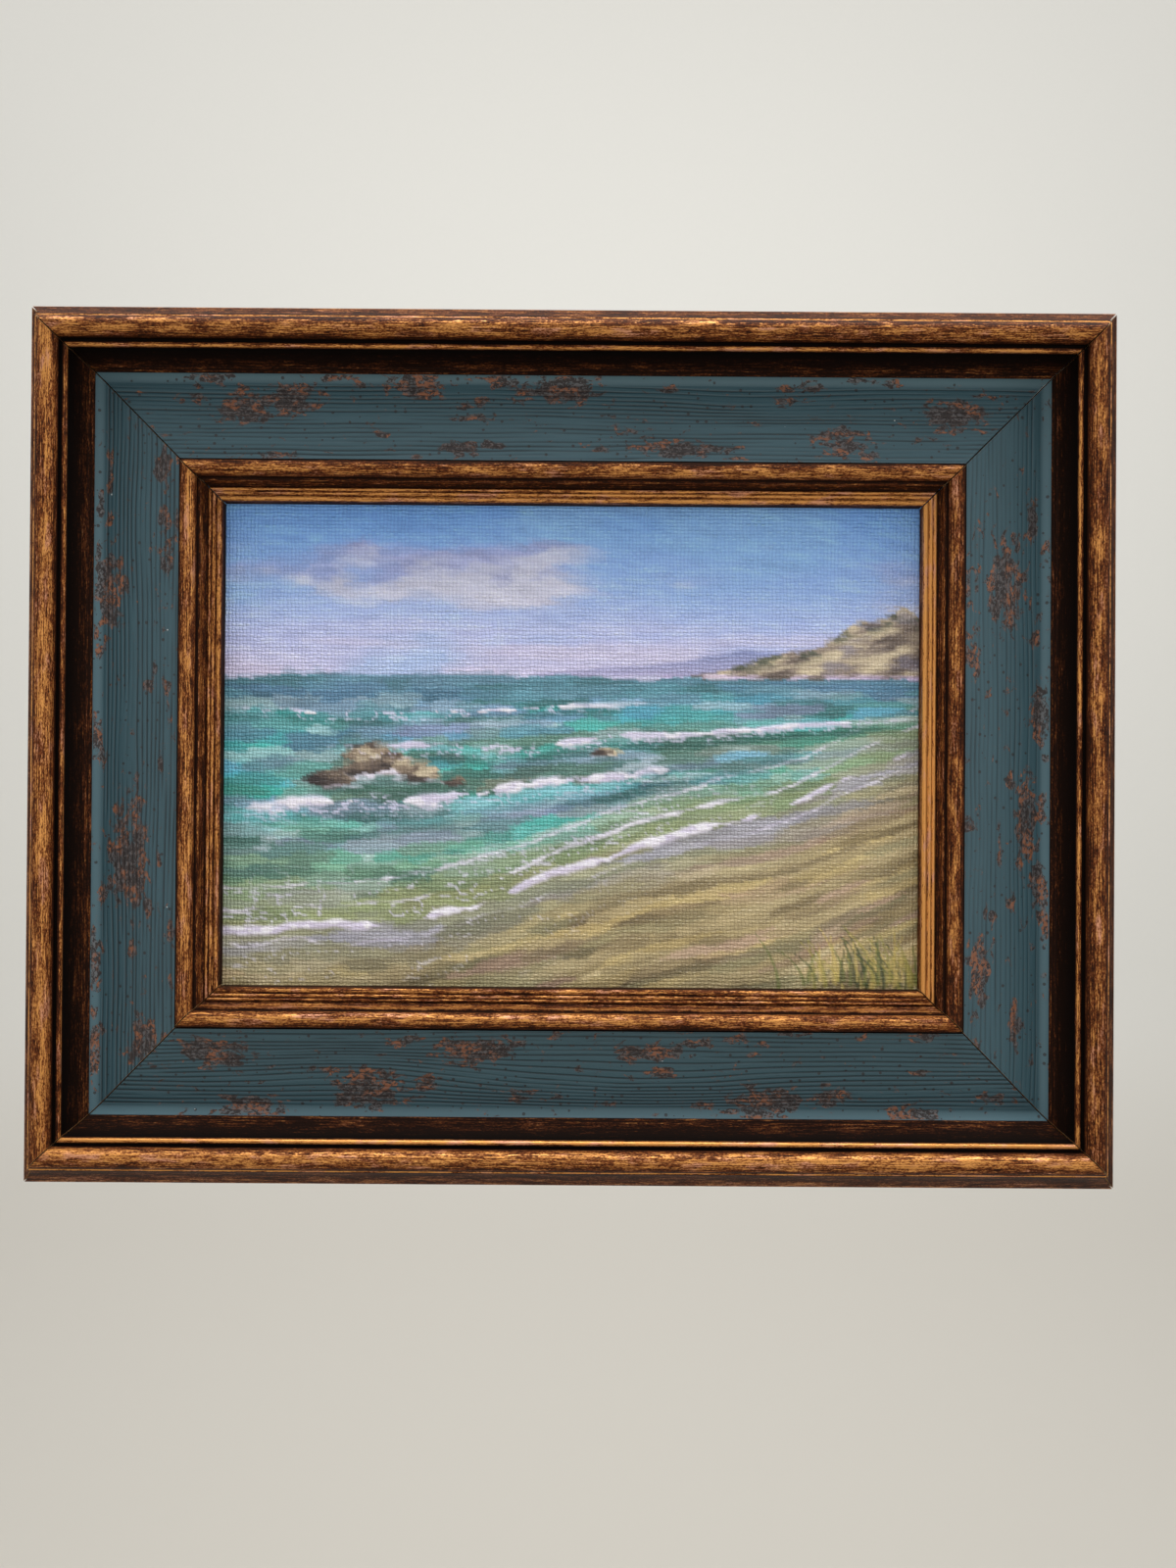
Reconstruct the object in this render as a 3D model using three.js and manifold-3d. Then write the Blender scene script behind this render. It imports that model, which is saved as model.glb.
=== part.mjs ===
// A small oil painting on a canvas panel, in a deep mitred moulding frame that hangs on a wall.
// Millimetres. +X is to the viewer's right, +Y runs into the wall and +Z is up, so the picture faces -Y.
// The origin is the middle of the hanger plate's rear face, which is the wall's plane.
import * as THREE from "three";
import { mergeVertices } from "three/addons/utils/BufferGeometryUtils.js";
import Module from "manifold-3d";

const wasm = await Module();
wasm.setup();

// Driving dimensions -------------------------------------------------------------------------

const SIGHT_WIDTH = 166; // the painting that shows between the rails
const SIGHT_HEIGHT = 115;
const RAIL_WIDTH = 48; // from the sight edge to the frame's outer edge
const REBATE_WIDTH = 7; // how far the lip covers the panel
const LIP_UNDERSIDE = 8; // height of the lip's rear face above the frame's back
const MITRE_GAP = 0.3; // the fine open line at each corner, measured across the joint

// The moulding's section: [distance out from the sight edge, height above the frame's back].
const SECTION = {
  sightEdge: [0, 11.2],
  lipHead: [3.1, 11.6],
  coveFoot: [3.2, 11.2],
  coveHead: [4.2, 13.6],
  ledge: [4.9, 13.7],
  innerBeadFoot: [4.95, 14.6],
  innerBeadHead: [8.8, 14.8],
  panelInner: [9.3, 14],
  panelOuter: [28.2, 10.2],
  filletHead: [30.3, 11],
  wallFoot: [31.5, 12.4],
  wallHead: [33.4, 18.9],
  smallBeadHead: [34.4, 19.5],
  outerBeadFoot: [35.3, 20.1],
  outerBeadHead: [40.1, 20.1],
  arris: [40.4, 19.7],
  slopeHead: [40.8, 19.6],
  slopeFoot: [RAIL_WIDTH - 0.3, 6.3],
  sideHead: [RAIL_WIDTH, 5.8],
  sideFoot: [RAIL_WIDTH, 0.8],
  backEdge: [RAIL_WIDTH - 0.8, 0],
};
const INNER_BEAD_RISE = 1.85; // how far each round or hollow bows from its chord
const OUTER_BEAD_RISE = 2.3;
const SMALL_BEAD_RISE = 0.45;
const COVE_SINK = 0.35;
const FILLET_SINK = 0.2;
const WALL_SINK = 0.35;
const SLOPE_SINK = 0.9;
const QUIRK_DEPTH = 0.5; // the narrow grooves beside the beads
const QUIRK_DRAFT = 0.05; // lean of a groove's outer wall
const LIP_REEDS = [[0.42, 0.34], [0.32, 0.24], [0.26, 0.2]]; // share of the lip, and rise
const FOOT_REEDS = [[0.5, 0.14], [0.5, 0.14]];
const REED_GAP = 0.12;

const PANEL_WIDTH = 178; // a standard canvas panel
const PANEL_HEIGHT = 127;
const BOARD_THICKNESS = 3;
const CANVAS_FOLD = 0.4; // thickness of the canvas glued down round the panel's back
const CANVAS_FOLD_WIDTH = 14;
const PANEL_CORNER = 1.2; // its corners are a little blunt
const SEAT_GAP = 0.3; // between the panel and the lip that it rests on

const HANGER_LENGTH = 46;
const HANGER_HEIGHT = 9;
const HANGER_SHEET = 0.8; // thickness of its brassed steel sheet
const HANGER_GAP = 0.1; // under its feet, and under the nails' heads
const HANGER_STAND_OFF = 2.8; // from the frame's back to the plate's rear face
const HANGER_FOOT = 3.2; // from a nail to the inner end of its foot
const HANGER_RAMP = 1.6; // length of the bend from a foot to the raised middle
const HANGER_UP = 25; // the hanger's middle, measured up from the sight's top edge
const TOOTH_COUNT = 11;
const TOOTH_PITCH = 2.2;
const TOOTH_DEPTH = 1.3;

const NAIL_SPACING = 36;
const NAIL_SHANK_RADIUS = 0.7;
const NAIL_HEAD_RADIUS = 1.7;
const NAIL_HEAD_HEIGHT = 0.6;
const NAIL_RIM = 0.15;
const NAIL_TIP = 1.6;
const NAIL_LENGTH = 9;
const NAIL_CLEARANCE = 0.15;

const POINT_WIDTH = 6; // the steel points that hold the panel in its rebate
const POINT_SHEET = 0.6;
const POINT_REACH = 9; // the part that lies over the panel's back
const POINT_BITE = 7; // the part that is driven into the rail
const POINT_HOLE_RADIUS = 0.9;
const POINT_CLEARANCE = 0.12;

// Derived places -----------------------------------------------------------------------------

const PICTURE_CENTRE_Z = -(SIGHT_HEIGHT / 2 + HANGER_UP);
const BACK_Y = -HANGER_STAND_OFF;
const PANEL_FRONT = LIP_UNDERSIDE - SEAT_GAP; // heights above the frame's back
const PANEL_REAR = PANEL_FRONT - BOARD_THICKNESS - CANVAS_FOLD;
const POINT_FRONT = PANEL_REAR - POINT_CLEARANCE;
const PLATE_FOOT = BACK_Y + HANGER_GAP; // Y of the face of the hanger's feet, next to the rail

// The moulding's section ---------------------------------------------------------------------

// Points of a round stretch from one end to the other. The sagitta is how far it bows from its
// chord: positive stands proud of the moulding's face and negative is hollow.
function bow(from, to, sagitta, steps) {
  const start = new THREE.Vector2(...from);
  const chord = new THREE.Vector2(...to).sub(start);
  const length = chord.length();
  const along = chord.clone().normalize();
  const out = new THREE.Vector2(-along.y, along.x);
  const radius = (length * length) / (8 * Math.abs(sagitta)) + Math.abs(sagitta) / 2;
  const half = Math.asin(Math.min(1, length / (2 * radius)));
  const side = Math.sign(sagitta);
  return Array.from({ length: steps + 1 }, (_, i) => {
    const angle = half * ((2 * i) / steps - 1);
    const forward = length / 2 + radius * Math.sin(angle);
    const rise = side * (radius * Math.cos(angle) - radius + Math.abs(sagitta));
    return start.clone().addScaledVector(along, forward).addScaledVector(out, rise);
  });
}

const point = (x, y) => new THREE.Vector2(x, y);

// Fine reeds side by side along a chord, each a low arc, with a sharp nick between neighbours.
function reeds(from, to, list, steps) {
  const start = point(...from);
  const chord = point(...to).sub(start);
  const nick = REED_GAP / chord.length();
  let done = 0;
  return list.flatMap(([share, rise]) => {
    const near = start.clone().addScaledVector(chord, done > 0 ? done + nick : 0);
    done += share;
    const far = start.clone().addScaledVector(chord, done);
    return bow(near.toArray(), far.toArray(), rise, steps);
  });
}

// The floor of a narrow groove between two parts of the face.
function quirk(left, right) {
  const floor = Math.min(left[1], right[1]) - QUIRK_DEPTH;
  return [point(left[0], floor), point(right[0] - QUIRK_DRAFT, floor)];
}

const rebate = [
  point(REBATE_WIDTH, 0),
  point(REBATE_WIDTH, LIP_UNDERSIDE),
  point(0, LIP_UNDERSIDE),
];

const railSection = [
  ...reeds(SECTION.sightEdge, SECTION.lipHead, LIP_REEDS, 4),
  ...bow(SECTION.coveFoot, SECTION.coveHead, -COVE_SINK, 6),
  point(...SECTION.ledge),
  ...bow(SECTION.innerBeadFoot, SECTION.innerBeadHead, INNER_BEAD_RISE, 14),
  ...quirk(SECTION.innerBeadHead, SECTION.panelInner),
  point(...SECTION.panelInner),
  ...bow(SECTION.panelOuter, SECTION.filletHead, -FILLET_SINK, 4),
  ...reeds(SECTION.filletHead, SECTION.wallFoot, FOOT_REEDS, 3).slice(1),
  ...bow(SECTION.wallFoot, SECTION.wallHead, -WALL_SINK, 6).slice(1),
  ...bow(SECTION.wallHead, SECTION.smallBeadHead, SMALL_BEAD_RISE, 6).slice(1),
  ...quirk(SECTION.smallBeadHead, SECTION.outerBeadFoot),
  ...bow(SECTION.outerBeadFoot, SECTION.outerBeadHead, OUTER_BEAD_RISE, 16),
  ...quirk(SECTION.outerBeadHead, SECTION.arris),
  point(...SECTION.arris),
  ...bow(SECTION.slopeHead, SECTION.slopeFoot, -SLOPE_SINK, 8),
  point(...SECTION.sideHead),
  point(...SECTION.sideFoot),
  point(...SECTION.backEdge),
  ...rebate,
];

// Finishes -----------------------------------------------------------------------------------

const bronze = new THREE.MeshStandardMaterial({ color: 0x8a5526, roughness: 0.4, metalness: 0.55 });
const linen = new THREE.MeshStandardMaterial({ color: 0x7f9c96, roughness: 0.6, metalness: 0 });
const zinc = new THREE.MeshStandardMaterial({ color: 0xb9bcc0, roughness: 0.35, metalness: 0.9 });
const brass = new THREE.MeshStandardMaterial({ color: 0xb08d46, roughness: 0.35, metalness: 0.9 });

// Solids that are joined and cut -------------------------------------------------------------

function toSolid(geometry) {
  const bare = new THREE.BufferGeometry();
  const source = geometry.index ? geometry.toNonIndexed() : geometry;
  bare.setAttribute("position", source.getAttribute("position"));
  const merged = mergeVertices(bare, 1e-4);
  return new wasm.Manifold(
    new wasm.Mesh({
      numProp: 3,
      vertProperties: merged.attributes.position.array,
      triVerts: new Uint32Array(merged.index.array),
    }),
  );
}

function toGeometry(solid) {
  const mesh = solid.getMesh();
  const geometry = new THREE.BufferGeometry();
  geometry.setAttribute("position", new THREE.BufferAttribute(mesh.vertProperties, 3));
  geometry.setIndex(new THREE.BufferAttribute(mesh.triVerts, 1));
  const faceted = geometry.toNonIndexed();
  faceted.computeVertexNormals();
  return faceted;
}

// A prism of a plane outline: the outline's x and y stay, and it runs from near to far along z.
function prism(outline, near, far, holes = []) {
  const shape = new THREE.Shape(outline);
  shape.holes.push(...holes.map((hole) => new THREE.Path(hole)));
  const geometry = new THREE.ExtrudeGeometry(shape, {
    depth: far - near,
    bevelEnabled: false,
    steps: 1,
  });
  return geometry.translate(0, 0, near);
}

// Stands a prism up: its outline lies in X and Z, and it runs from `near` to `far` above the back.
function standing(outline, near, far, holes = []) {
  return prism(outline, near, far, holes).rotateX(Math.PI / 2);
}

function circle(x, z, radius, sides) {
  return Array.from({ length: sides }, (_, i) => {
    const angle = (2 * Math.PI * i) / sides;
    return point(x + radius * Math.cos(angle), z + radius * Math.sin(angle));
  });
}

function rectangle(left, bottom, right, top) {
  return [point(left, bottom), point(right, bottom), point(right, top), point(left, top)];
}

// The rails ----------------------------------------------------------------------------------

// A rail as if it were the top one, about the picture's centre: its section is drawn out along X
// and each end is cut at 45 degrees, so a point further from the sight edge reaches further.
function railBlank(halfLength, sightEdge) {
  const geometry = prism(railSection, 0, 1);
  const position = geometry.getAttribute("position");
  for (let i = 0; i < position.count; i += 1) {
    const u = position.getX(i);
    const h = position.getY(i);
    const end = position.getZ(i) > 0.5 ? 1 : -1;
    const reach = halfLength + u - MITRE_GAP / Math.SQRT2;
    position.setXYZ(i, end * reach, -h, sightEdge + u);
  }
  return geometry;
}

function part(name, geometry, material) {
  const mesh = new THREE.Mesh(geometry, material);
  mesh.name = name;
  return mesh;
}

// Plan of a point: a blunt rounded tongue over the panel, and a spear in the rail.
function pointOutline(wall, slack) {
  const half = POINT_WIDTH / 2 + slack;
  const tongue = wall - POINT_REACH;
  const shoulder = wall + POINT_BITE * 0.4;
  const nose = Array.from({ length: 9 }, (_, i) => {
    const angle = Math.PI + (Math.PI * i) / 8;
    return point(half * Math.cos(angle), tongue + half + half * Math.sin(angle));
  });
  return [...nose, point(half, shoulder), point(0, wall + POINT_BITE + slack), point(-half, shoulder)];
}

function pointGeometry(wall) {
  const hole = circle(0, wall - POINT_REACH + POINT_WIDTH / 2, POINT_HOLE_RADIUS, 12);
  return standing(pointOutline(wall, 0), POINT_FRONT - POINT_SHEET, POINT_FRONT, [hole]);
}

function pointSlot(wall) {
  const near = POINT_FRONT - POINT_SHEET - POINT_CLEARANCE;
  return toSolid(standing(pointOutline(wall, POINT_CLEARANCE), near, POINT_FRONT + POINT_CLEARANCE));
}

// A rail and the point that is driven into its rebate, turned to their side of the picture.
function railGroup(side, halfLength, sightEdge, turn, drill = []) {
  const wall = sightEdge + REBATE_WIDTH;
  const cutters = [pointSlot(wall), ...drill];
  const solid = cutters.reduce(
    (rest, cutter) => rest.subtract(cutter),
    toSolid(railBlank(halfLength, sightEdge)),
  );
  const group = new THREE.Group();
  group.add(
    part(`rail_${side}`, toGeometry(solid), bronze),
    part(`point_${side}`, pointGeometry(wall), zinc),
  );
  group.rotation.y = turn;
  return group;
}

// The canvas panel ---------------------------------------------------------------------------

// A board with canvas over its face and edges, folded and glued down as a border on the back.
function panelGeometry() {
  const halfW = PANEL_WIDTH / 2;
  const halfH = PANEL_HEIGHT / 2;
  const clip = PANEL_CORNER;
  const outline = [
    point(-halfW + clip, -halfH),
    point(halfW - clip, -halfH),
    point(halfW, -halfH + clip),
    point(halfW, halfH - clip),
    point(halfW - clip, halfH),
    point(-halfW + clip, halfH),
    point(-halfW, halfH - clip),
    point(-halfW, -halfH + clip),
  ];
  const inW = halfW - CANVAS_FOLD_WIDTH;
  const inH = halfH - CANVAS_FOLD_WIDTH;
  const boardRear = PANEL_REAR + CANVAS_FOLD;
  const open = rectangle(-inW, -inH, inW, inH);
  const board = toSolid(standing(outline, boardRear, PANEL_FRONT));
  const fold = toSolid(standing(outline, PANEL_REAR, boardRear + CANVAS_FOLD, [open]));
  return toGeometry(board.add(fold));
}

// The hanger ---------------------------------------------------------------------------------

// Side view of the bent strip, drawn in X and Y: flat feet at the ends and a raised middle.
function hangerBend() {
  const end = HANGER_LENGTH / 2;
  const foot = NAIL_SPACING / 2 - HANGER_FOOT;
  const rise = foot - HANGER_RAMP;
  const lean = HANGER_SHEET * 0.4; // keeps the ramp about as thick as the rest of the sheet
  const half = [
    point(rise, -HANGER_SHEET),
    point(foot, PLATE_FOOT),
    point(end, PLATE_FOOT),
    point(end, PLATE_FOOT + HANGER_SHEET),
    point(foot + lean, PLATE_FOOT + HANGER_SHEET),
    point(rise + lean, 0),
  ];
  const other = half.map(({ x, y }) => point(-x, y)).reverse();
  return [...half, ...other];
}

// Front view of the strip, drawn in X and Z: round ends, and saw teeth along the lower edge.
function hangerOutline() {
  const radius = HANGER_HEIGHT / 2;
  const centre = HANGER_LENGTH / 2 - radius;
  const cap = (side, from) =>
    Array.from({ length: 9 }, (_, i) => {
      const angle = from + (Math.PI * i) / 8;
      return point(side * centre + radius * Math.cos(angle), radius * Math.sin(angle));
    });
  const teeth = Array.from({ length: 2 * TOOTH_COUNT + 1 }, (_, i) =>
    point((i - TOOTH_COUNT) * (TOOTH_PITCH / 2), (i % 2) * TOOTH_DEPTH - radius),
  );
  return [...cap(-1, Math.PI / 2), ...teeth, ...cap(1, -Math.PI / 2)];
}

function hangerGeometry() {
  const bend = prism(hangerBend(), -HANGER_HEIGHT, HANGER_HEIGHT);
  const holes = [-1, 1].map((side) =>
    circle((side * NAIL_SPACING) / 2, 0, NAIL_SHANK_RADIUS + NAIL_CLEARANCE, 12),
  );
  const blank = standing(hangerOutline(), -1, HANGER_STAND_OFF + 1, holes);
  return toGeometry(toSolid(bend).intersect(toSolid(blank)));
}

// A round-headed nail about its own axis, driven along -Y: its head bears on the hanger's foot.
function nailGeometry() {
  const bearing = PLATE_FOOT + HANGER_SHEET + HANGER_GAP;
  const rim = bearing + NAIL_RIM;
  const dome = Array.from({ length: 6 }, (_, i) => {
    const angle = (Math.PI / 2) * (i / 5);
    const rise = (NAIL_HEAD_HEIGHT - NAIL_RIM) * Math.sin(angle);
    return point(i < 5 ? NAIL_HEAD_RADIUS * Math.cos(angle) : 0, rim + rise);
  });
  const profile = [
    point(0, bearing - NAIL_LENGTH),
    point(NAIL_SHANK_RADIUS, bearing - NAIL_LENGTH + NAIL_TIP),
    point(NAIL_SHANK_RADIUS, bearing),
    point(NAIL_HEAD_RADIUS, bearing),
    ...dome,
  ];
  return new THREE.LatheGeometry(profile, 16);
}

function nailHole(side) {
  const x = (side * NAIL_SPACING) / 2;
  const z = SIGHT_HEIGHT / 2 + HANGER_UP;
  const outline = circle(x, z, NAIL_SHANK_RADIUS + NAIL_CLEARANCE, 12);
  return toSolid(standing(outline, -1, NAIL_LENGTH));
}

// Assembly -----------------------------------------------------------------------------------

const halfWidth = SIGHT_WIDTH / 2;
const halfHeight = SIGHT_HEIGHT / 2;
const quarter = Math.PI / 2;

const frame = new THREE.Group();
frame.position.set(0, BACK_Y, PICTURE_CENTRE_Z);
frame.add(
  railGroup("top", halfWidth, halfHeight, 0, [nailHole(-1), nailHole(1)]),
  railGroup("bottom", halfWidth, halfHeight, 2 * quarter),
  railGroup("right", halfHeight, halfWidth, quarter),
  railGroup("left", halfHeight, halfWidth, -quarter),
  part("canvas_panel", panelGeometry(), linen),
);

const hanger = new THREE.Group();
hanger.add(part("hanger_plate", hangerGeometry(), brass));
for (const [name, side] of [["hanger_nail_left", -1], ["hanger_nail_right", 1]]) {
  const nail = part(name, nailGeometry(), zinc);
  nail.position.x = (side * NAIL_SPACING) / 2;
  hanger.add(nail);
}

const painting = new THREE.Group();
painting.add(frame, hanger);

export default painting;
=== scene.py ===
"""A small seascape in oils on a canvas panel, in a deep mitred frame of teal and rubbed bronze.

Metres. +X is to the viewer's right, +Y runs into the wall and +Z is up, so the picture faces -Y.
The painting's classes hold their sizes in millimetres, and MM turns them into metres. The studio's
sizes are metres.
"""

import logging
import math
from collections.abc import Callable, Iterable
from dataclasses import dataclass, field
from enum import Enum
from typing import ClassVar

import bpy
import numpy as np
from mathutils import Matrix, Vector

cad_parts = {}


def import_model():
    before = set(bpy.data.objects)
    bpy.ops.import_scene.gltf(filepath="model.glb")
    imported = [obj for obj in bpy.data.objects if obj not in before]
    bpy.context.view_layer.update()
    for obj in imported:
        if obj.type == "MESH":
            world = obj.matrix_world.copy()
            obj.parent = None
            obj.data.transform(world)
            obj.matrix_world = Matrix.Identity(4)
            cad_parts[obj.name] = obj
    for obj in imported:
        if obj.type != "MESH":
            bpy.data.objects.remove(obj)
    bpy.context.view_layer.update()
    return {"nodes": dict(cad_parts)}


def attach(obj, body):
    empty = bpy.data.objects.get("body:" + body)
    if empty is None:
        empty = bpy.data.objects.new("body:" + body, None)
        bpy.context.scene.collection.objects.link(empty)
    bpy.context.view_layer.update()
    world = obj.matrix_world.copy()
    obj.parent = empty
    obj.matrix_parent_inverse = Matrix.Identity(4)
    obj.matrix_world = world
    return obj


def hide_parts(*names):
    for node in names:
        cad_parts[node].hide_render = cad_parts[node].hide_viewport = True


MM = 0.001
BODY = "root"
LAY_MAP = "lay"
BAKE_MAP = "OFBake"
LOG = logging.getLogger("framed_oil_painting")

Colour = tuple[float, float, float, float]
Pair = tuple[float, float]
Triple = tuple[float, float, float]


def pigment(red: int, green: int, blue: int) -> Colour:
    """Turns a colour as a painter would mix it into the linear one that a shader takes.

    Args:
        red: Red on the usual scale of 0 to 255.
        green: Green on the same scale.
        blue: Blue on the same scale.

    Returns:
        The linear colour with an alpha of 1.
    """
    linear = to_linear(np.array([red, green, blue], float))
    return (float(linear[0]), float(linear[1]), float(linear[2]), 1.0)


def to_linear(display: np.ndarray) -> np.ndarray:
    """Display values of 0 to 255 as linear light: a straight toe, then a power of 2.4."""
    share = display / 255.0
    return np.where(share <= 0.04045, share / 12.92, ((share + 0.055) / 1.055) ** 2.4)


def smooth(value: np.ndarray, low: float, high: float) -> np.ndarray:
    """Eases from 0 at `low` to 1 at `high` by the cubic 3t² - 2t³; `low` may be the larger."""
    share = np.clip((value - low) / (high - low), 0.0, 1.0)
    return share * share * (3.0 - 2.0 * share)


class Noise:
    """Smooth random variation that is the same on every run."""

    SIDE: ClassVar[int] = 512

    def __init__(self, seed: int) -> None:
        """Fills a lattice with seeded values from 0 to 1."""
        self._lattice = np.random.default_rng(seed).random((self.SIDE, self.SIDE))

    def at(self, x: np.ndarray, y: np.ndarray | float) -> np.ndarray:
        """Reads the noise: the four lattice values round a point, blended by a quintic ease.

        Args:
            x: First coordinate, in lattice cells.
            y: Second coordinate, in lattice cells.

        Returns:
            Values from 0 to 1 in the shape that x and y broadcast to.
        """
        left, low = np.floor(x), np.floor(y)
        across, up = x - left, y - low
        across = across**3 * (across * (6.0 * across - 15.0) + 10.0)
        up = up**3 * (up * (6.0 * up - 15.0) + 10.0)
        i, j = left.astype(int) % self.SIDE, low.astype(int) % self.SIDE
        i_next, j_next = (i + 1) % self.SIDE, (j + 1) % self.SIDE
        near = self._lattice[i, j] * (1.0 - across) + self._lattice[i_next, j] * across
        far = self._lattice[i, j_next] * (1.0 - across) + self._lattice[i_next, j_next] * across
        return near * (1.0 - up) + far * up

    def layered(self, x: np.ndarray, y: np.ndarray | float, layers: int = 4) -> np.ndarray:
        """Sums layers of the noise, each twice as fine and half as strong as the one before.

        Args:
            x: First coordinate, in cells of the coarsest layer.
            y: Second coordinate, in the same cells.
            layers: How many layers there are.

        Returns:
            Values from 0 to 1, about 0.5 on average.
        """
        weights = [0.5**k for k in range(layers)]
        total = sum(
            weight * self.at(x * 2.0**k + 17.3 * k, y * 2.0**k + 9.1 * k)
            for k, weight in enumerate(weights)
        )
        return total / sum(weights)


def link(name: str, data: bpy.types.ID) -> bpy.types.Object:
    """Makes an object that carries the data, and links it to the scene.

    Args:
        name: The object's name.
        data: Its mesh, lamp or lens.

    Returns:
        The object.
    """
    made = bpy.data.objects.new(name, data)
    bpy.context.scene.collection.objects.link(made)
    return made


# Shader nodes -----------------------------------------------------------------------------------


class Value:
    """A number that varies over a surface: a socket whose arithmetic adds Math nodes."""

    def __init__(self, net: "Net", socket: bpy.types.NodeSocket) -> None:
        """Wraps an output socket of the net."""
        self.net = net
        self.socket = socket

    def _math(self, operation: str, *terms: "Value | float") -> "Value":
        """Adds one Math node on the terms, in their order."""
        node = self.net.node("ShaderNodeMath", {"operation": operation}, dict(enumerate(terms)))
        return Value(self.net, node.outputs[0])

    def __add__(self, other: "Value | float") -> "Value":
        """Sum."""
        return self._math("ADD", self, other)

    __radd__ = __add__

    def __sub__(self, other: "Value | float") -> "Value":
        """Difference."""
        return self._math("SUBTRACT", self, other)

    def __rsub__(self, other: float) -> "Value":
        """Difference from a plain number."""
        return self._math("SUBTRACT", other, self)

    def __mul__(self, other: "Value | float") -> "Value":
        """Product."""
        return self._math("MULTIPLY", self, other)

    __rmul__ = __mul__

    def most(self, other: "Value | float") -> "Value":
        """The larger of the two."""
        return self._math("MAXIMUM", self, other)

    def size(self) -> "Value":
        """Its size without its sign."""
        return self._math("ABSOLUTE", self)

    def sine(self) -> "Value":
        """Its sine, in radians."""
        return self._math("SINE", self)

    def ease(self, low: float, high: float) -> "Value":
        """Eases from 0 at `low` to 1 at `high`; `low` may be the larger.

        Args:
            low: Where it leaves 0.
            high: Where it reaches 1.

        Returns:
            The eased value.
        """
        sockets = {"Value": self, "From Min": low, "From Max": high}
        node = self.net.node("ShaderNodeMapRange", {"interpolation_type": "SMOOTHSTEP"}, sockets)
        return Value(self.net, node.outputs[0])


Setting = str | float | bool
Input = Value | bpy.types.NodeSocket | float | tuple


@dataclass(frozen=True)
class Cloud:
    """Smooth noise: the size of its cell, its finer layers, its shift and how far it bends itself.

    The cell is in the unit of the place that the noise is laid over. Another shift makes it another
    pattern.
    """

    cell: Triple
    detail: float = 2.0
    shift: float = 0.0
    bend: float = 0.0


@dataclass(frozen=True)
class Specks:
    """Round specks, at most one in each cell: the cell, the largest radius, the share filled, a shift."""

    pitch: float
    radius: float
    share: float
    shift: float


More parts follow.
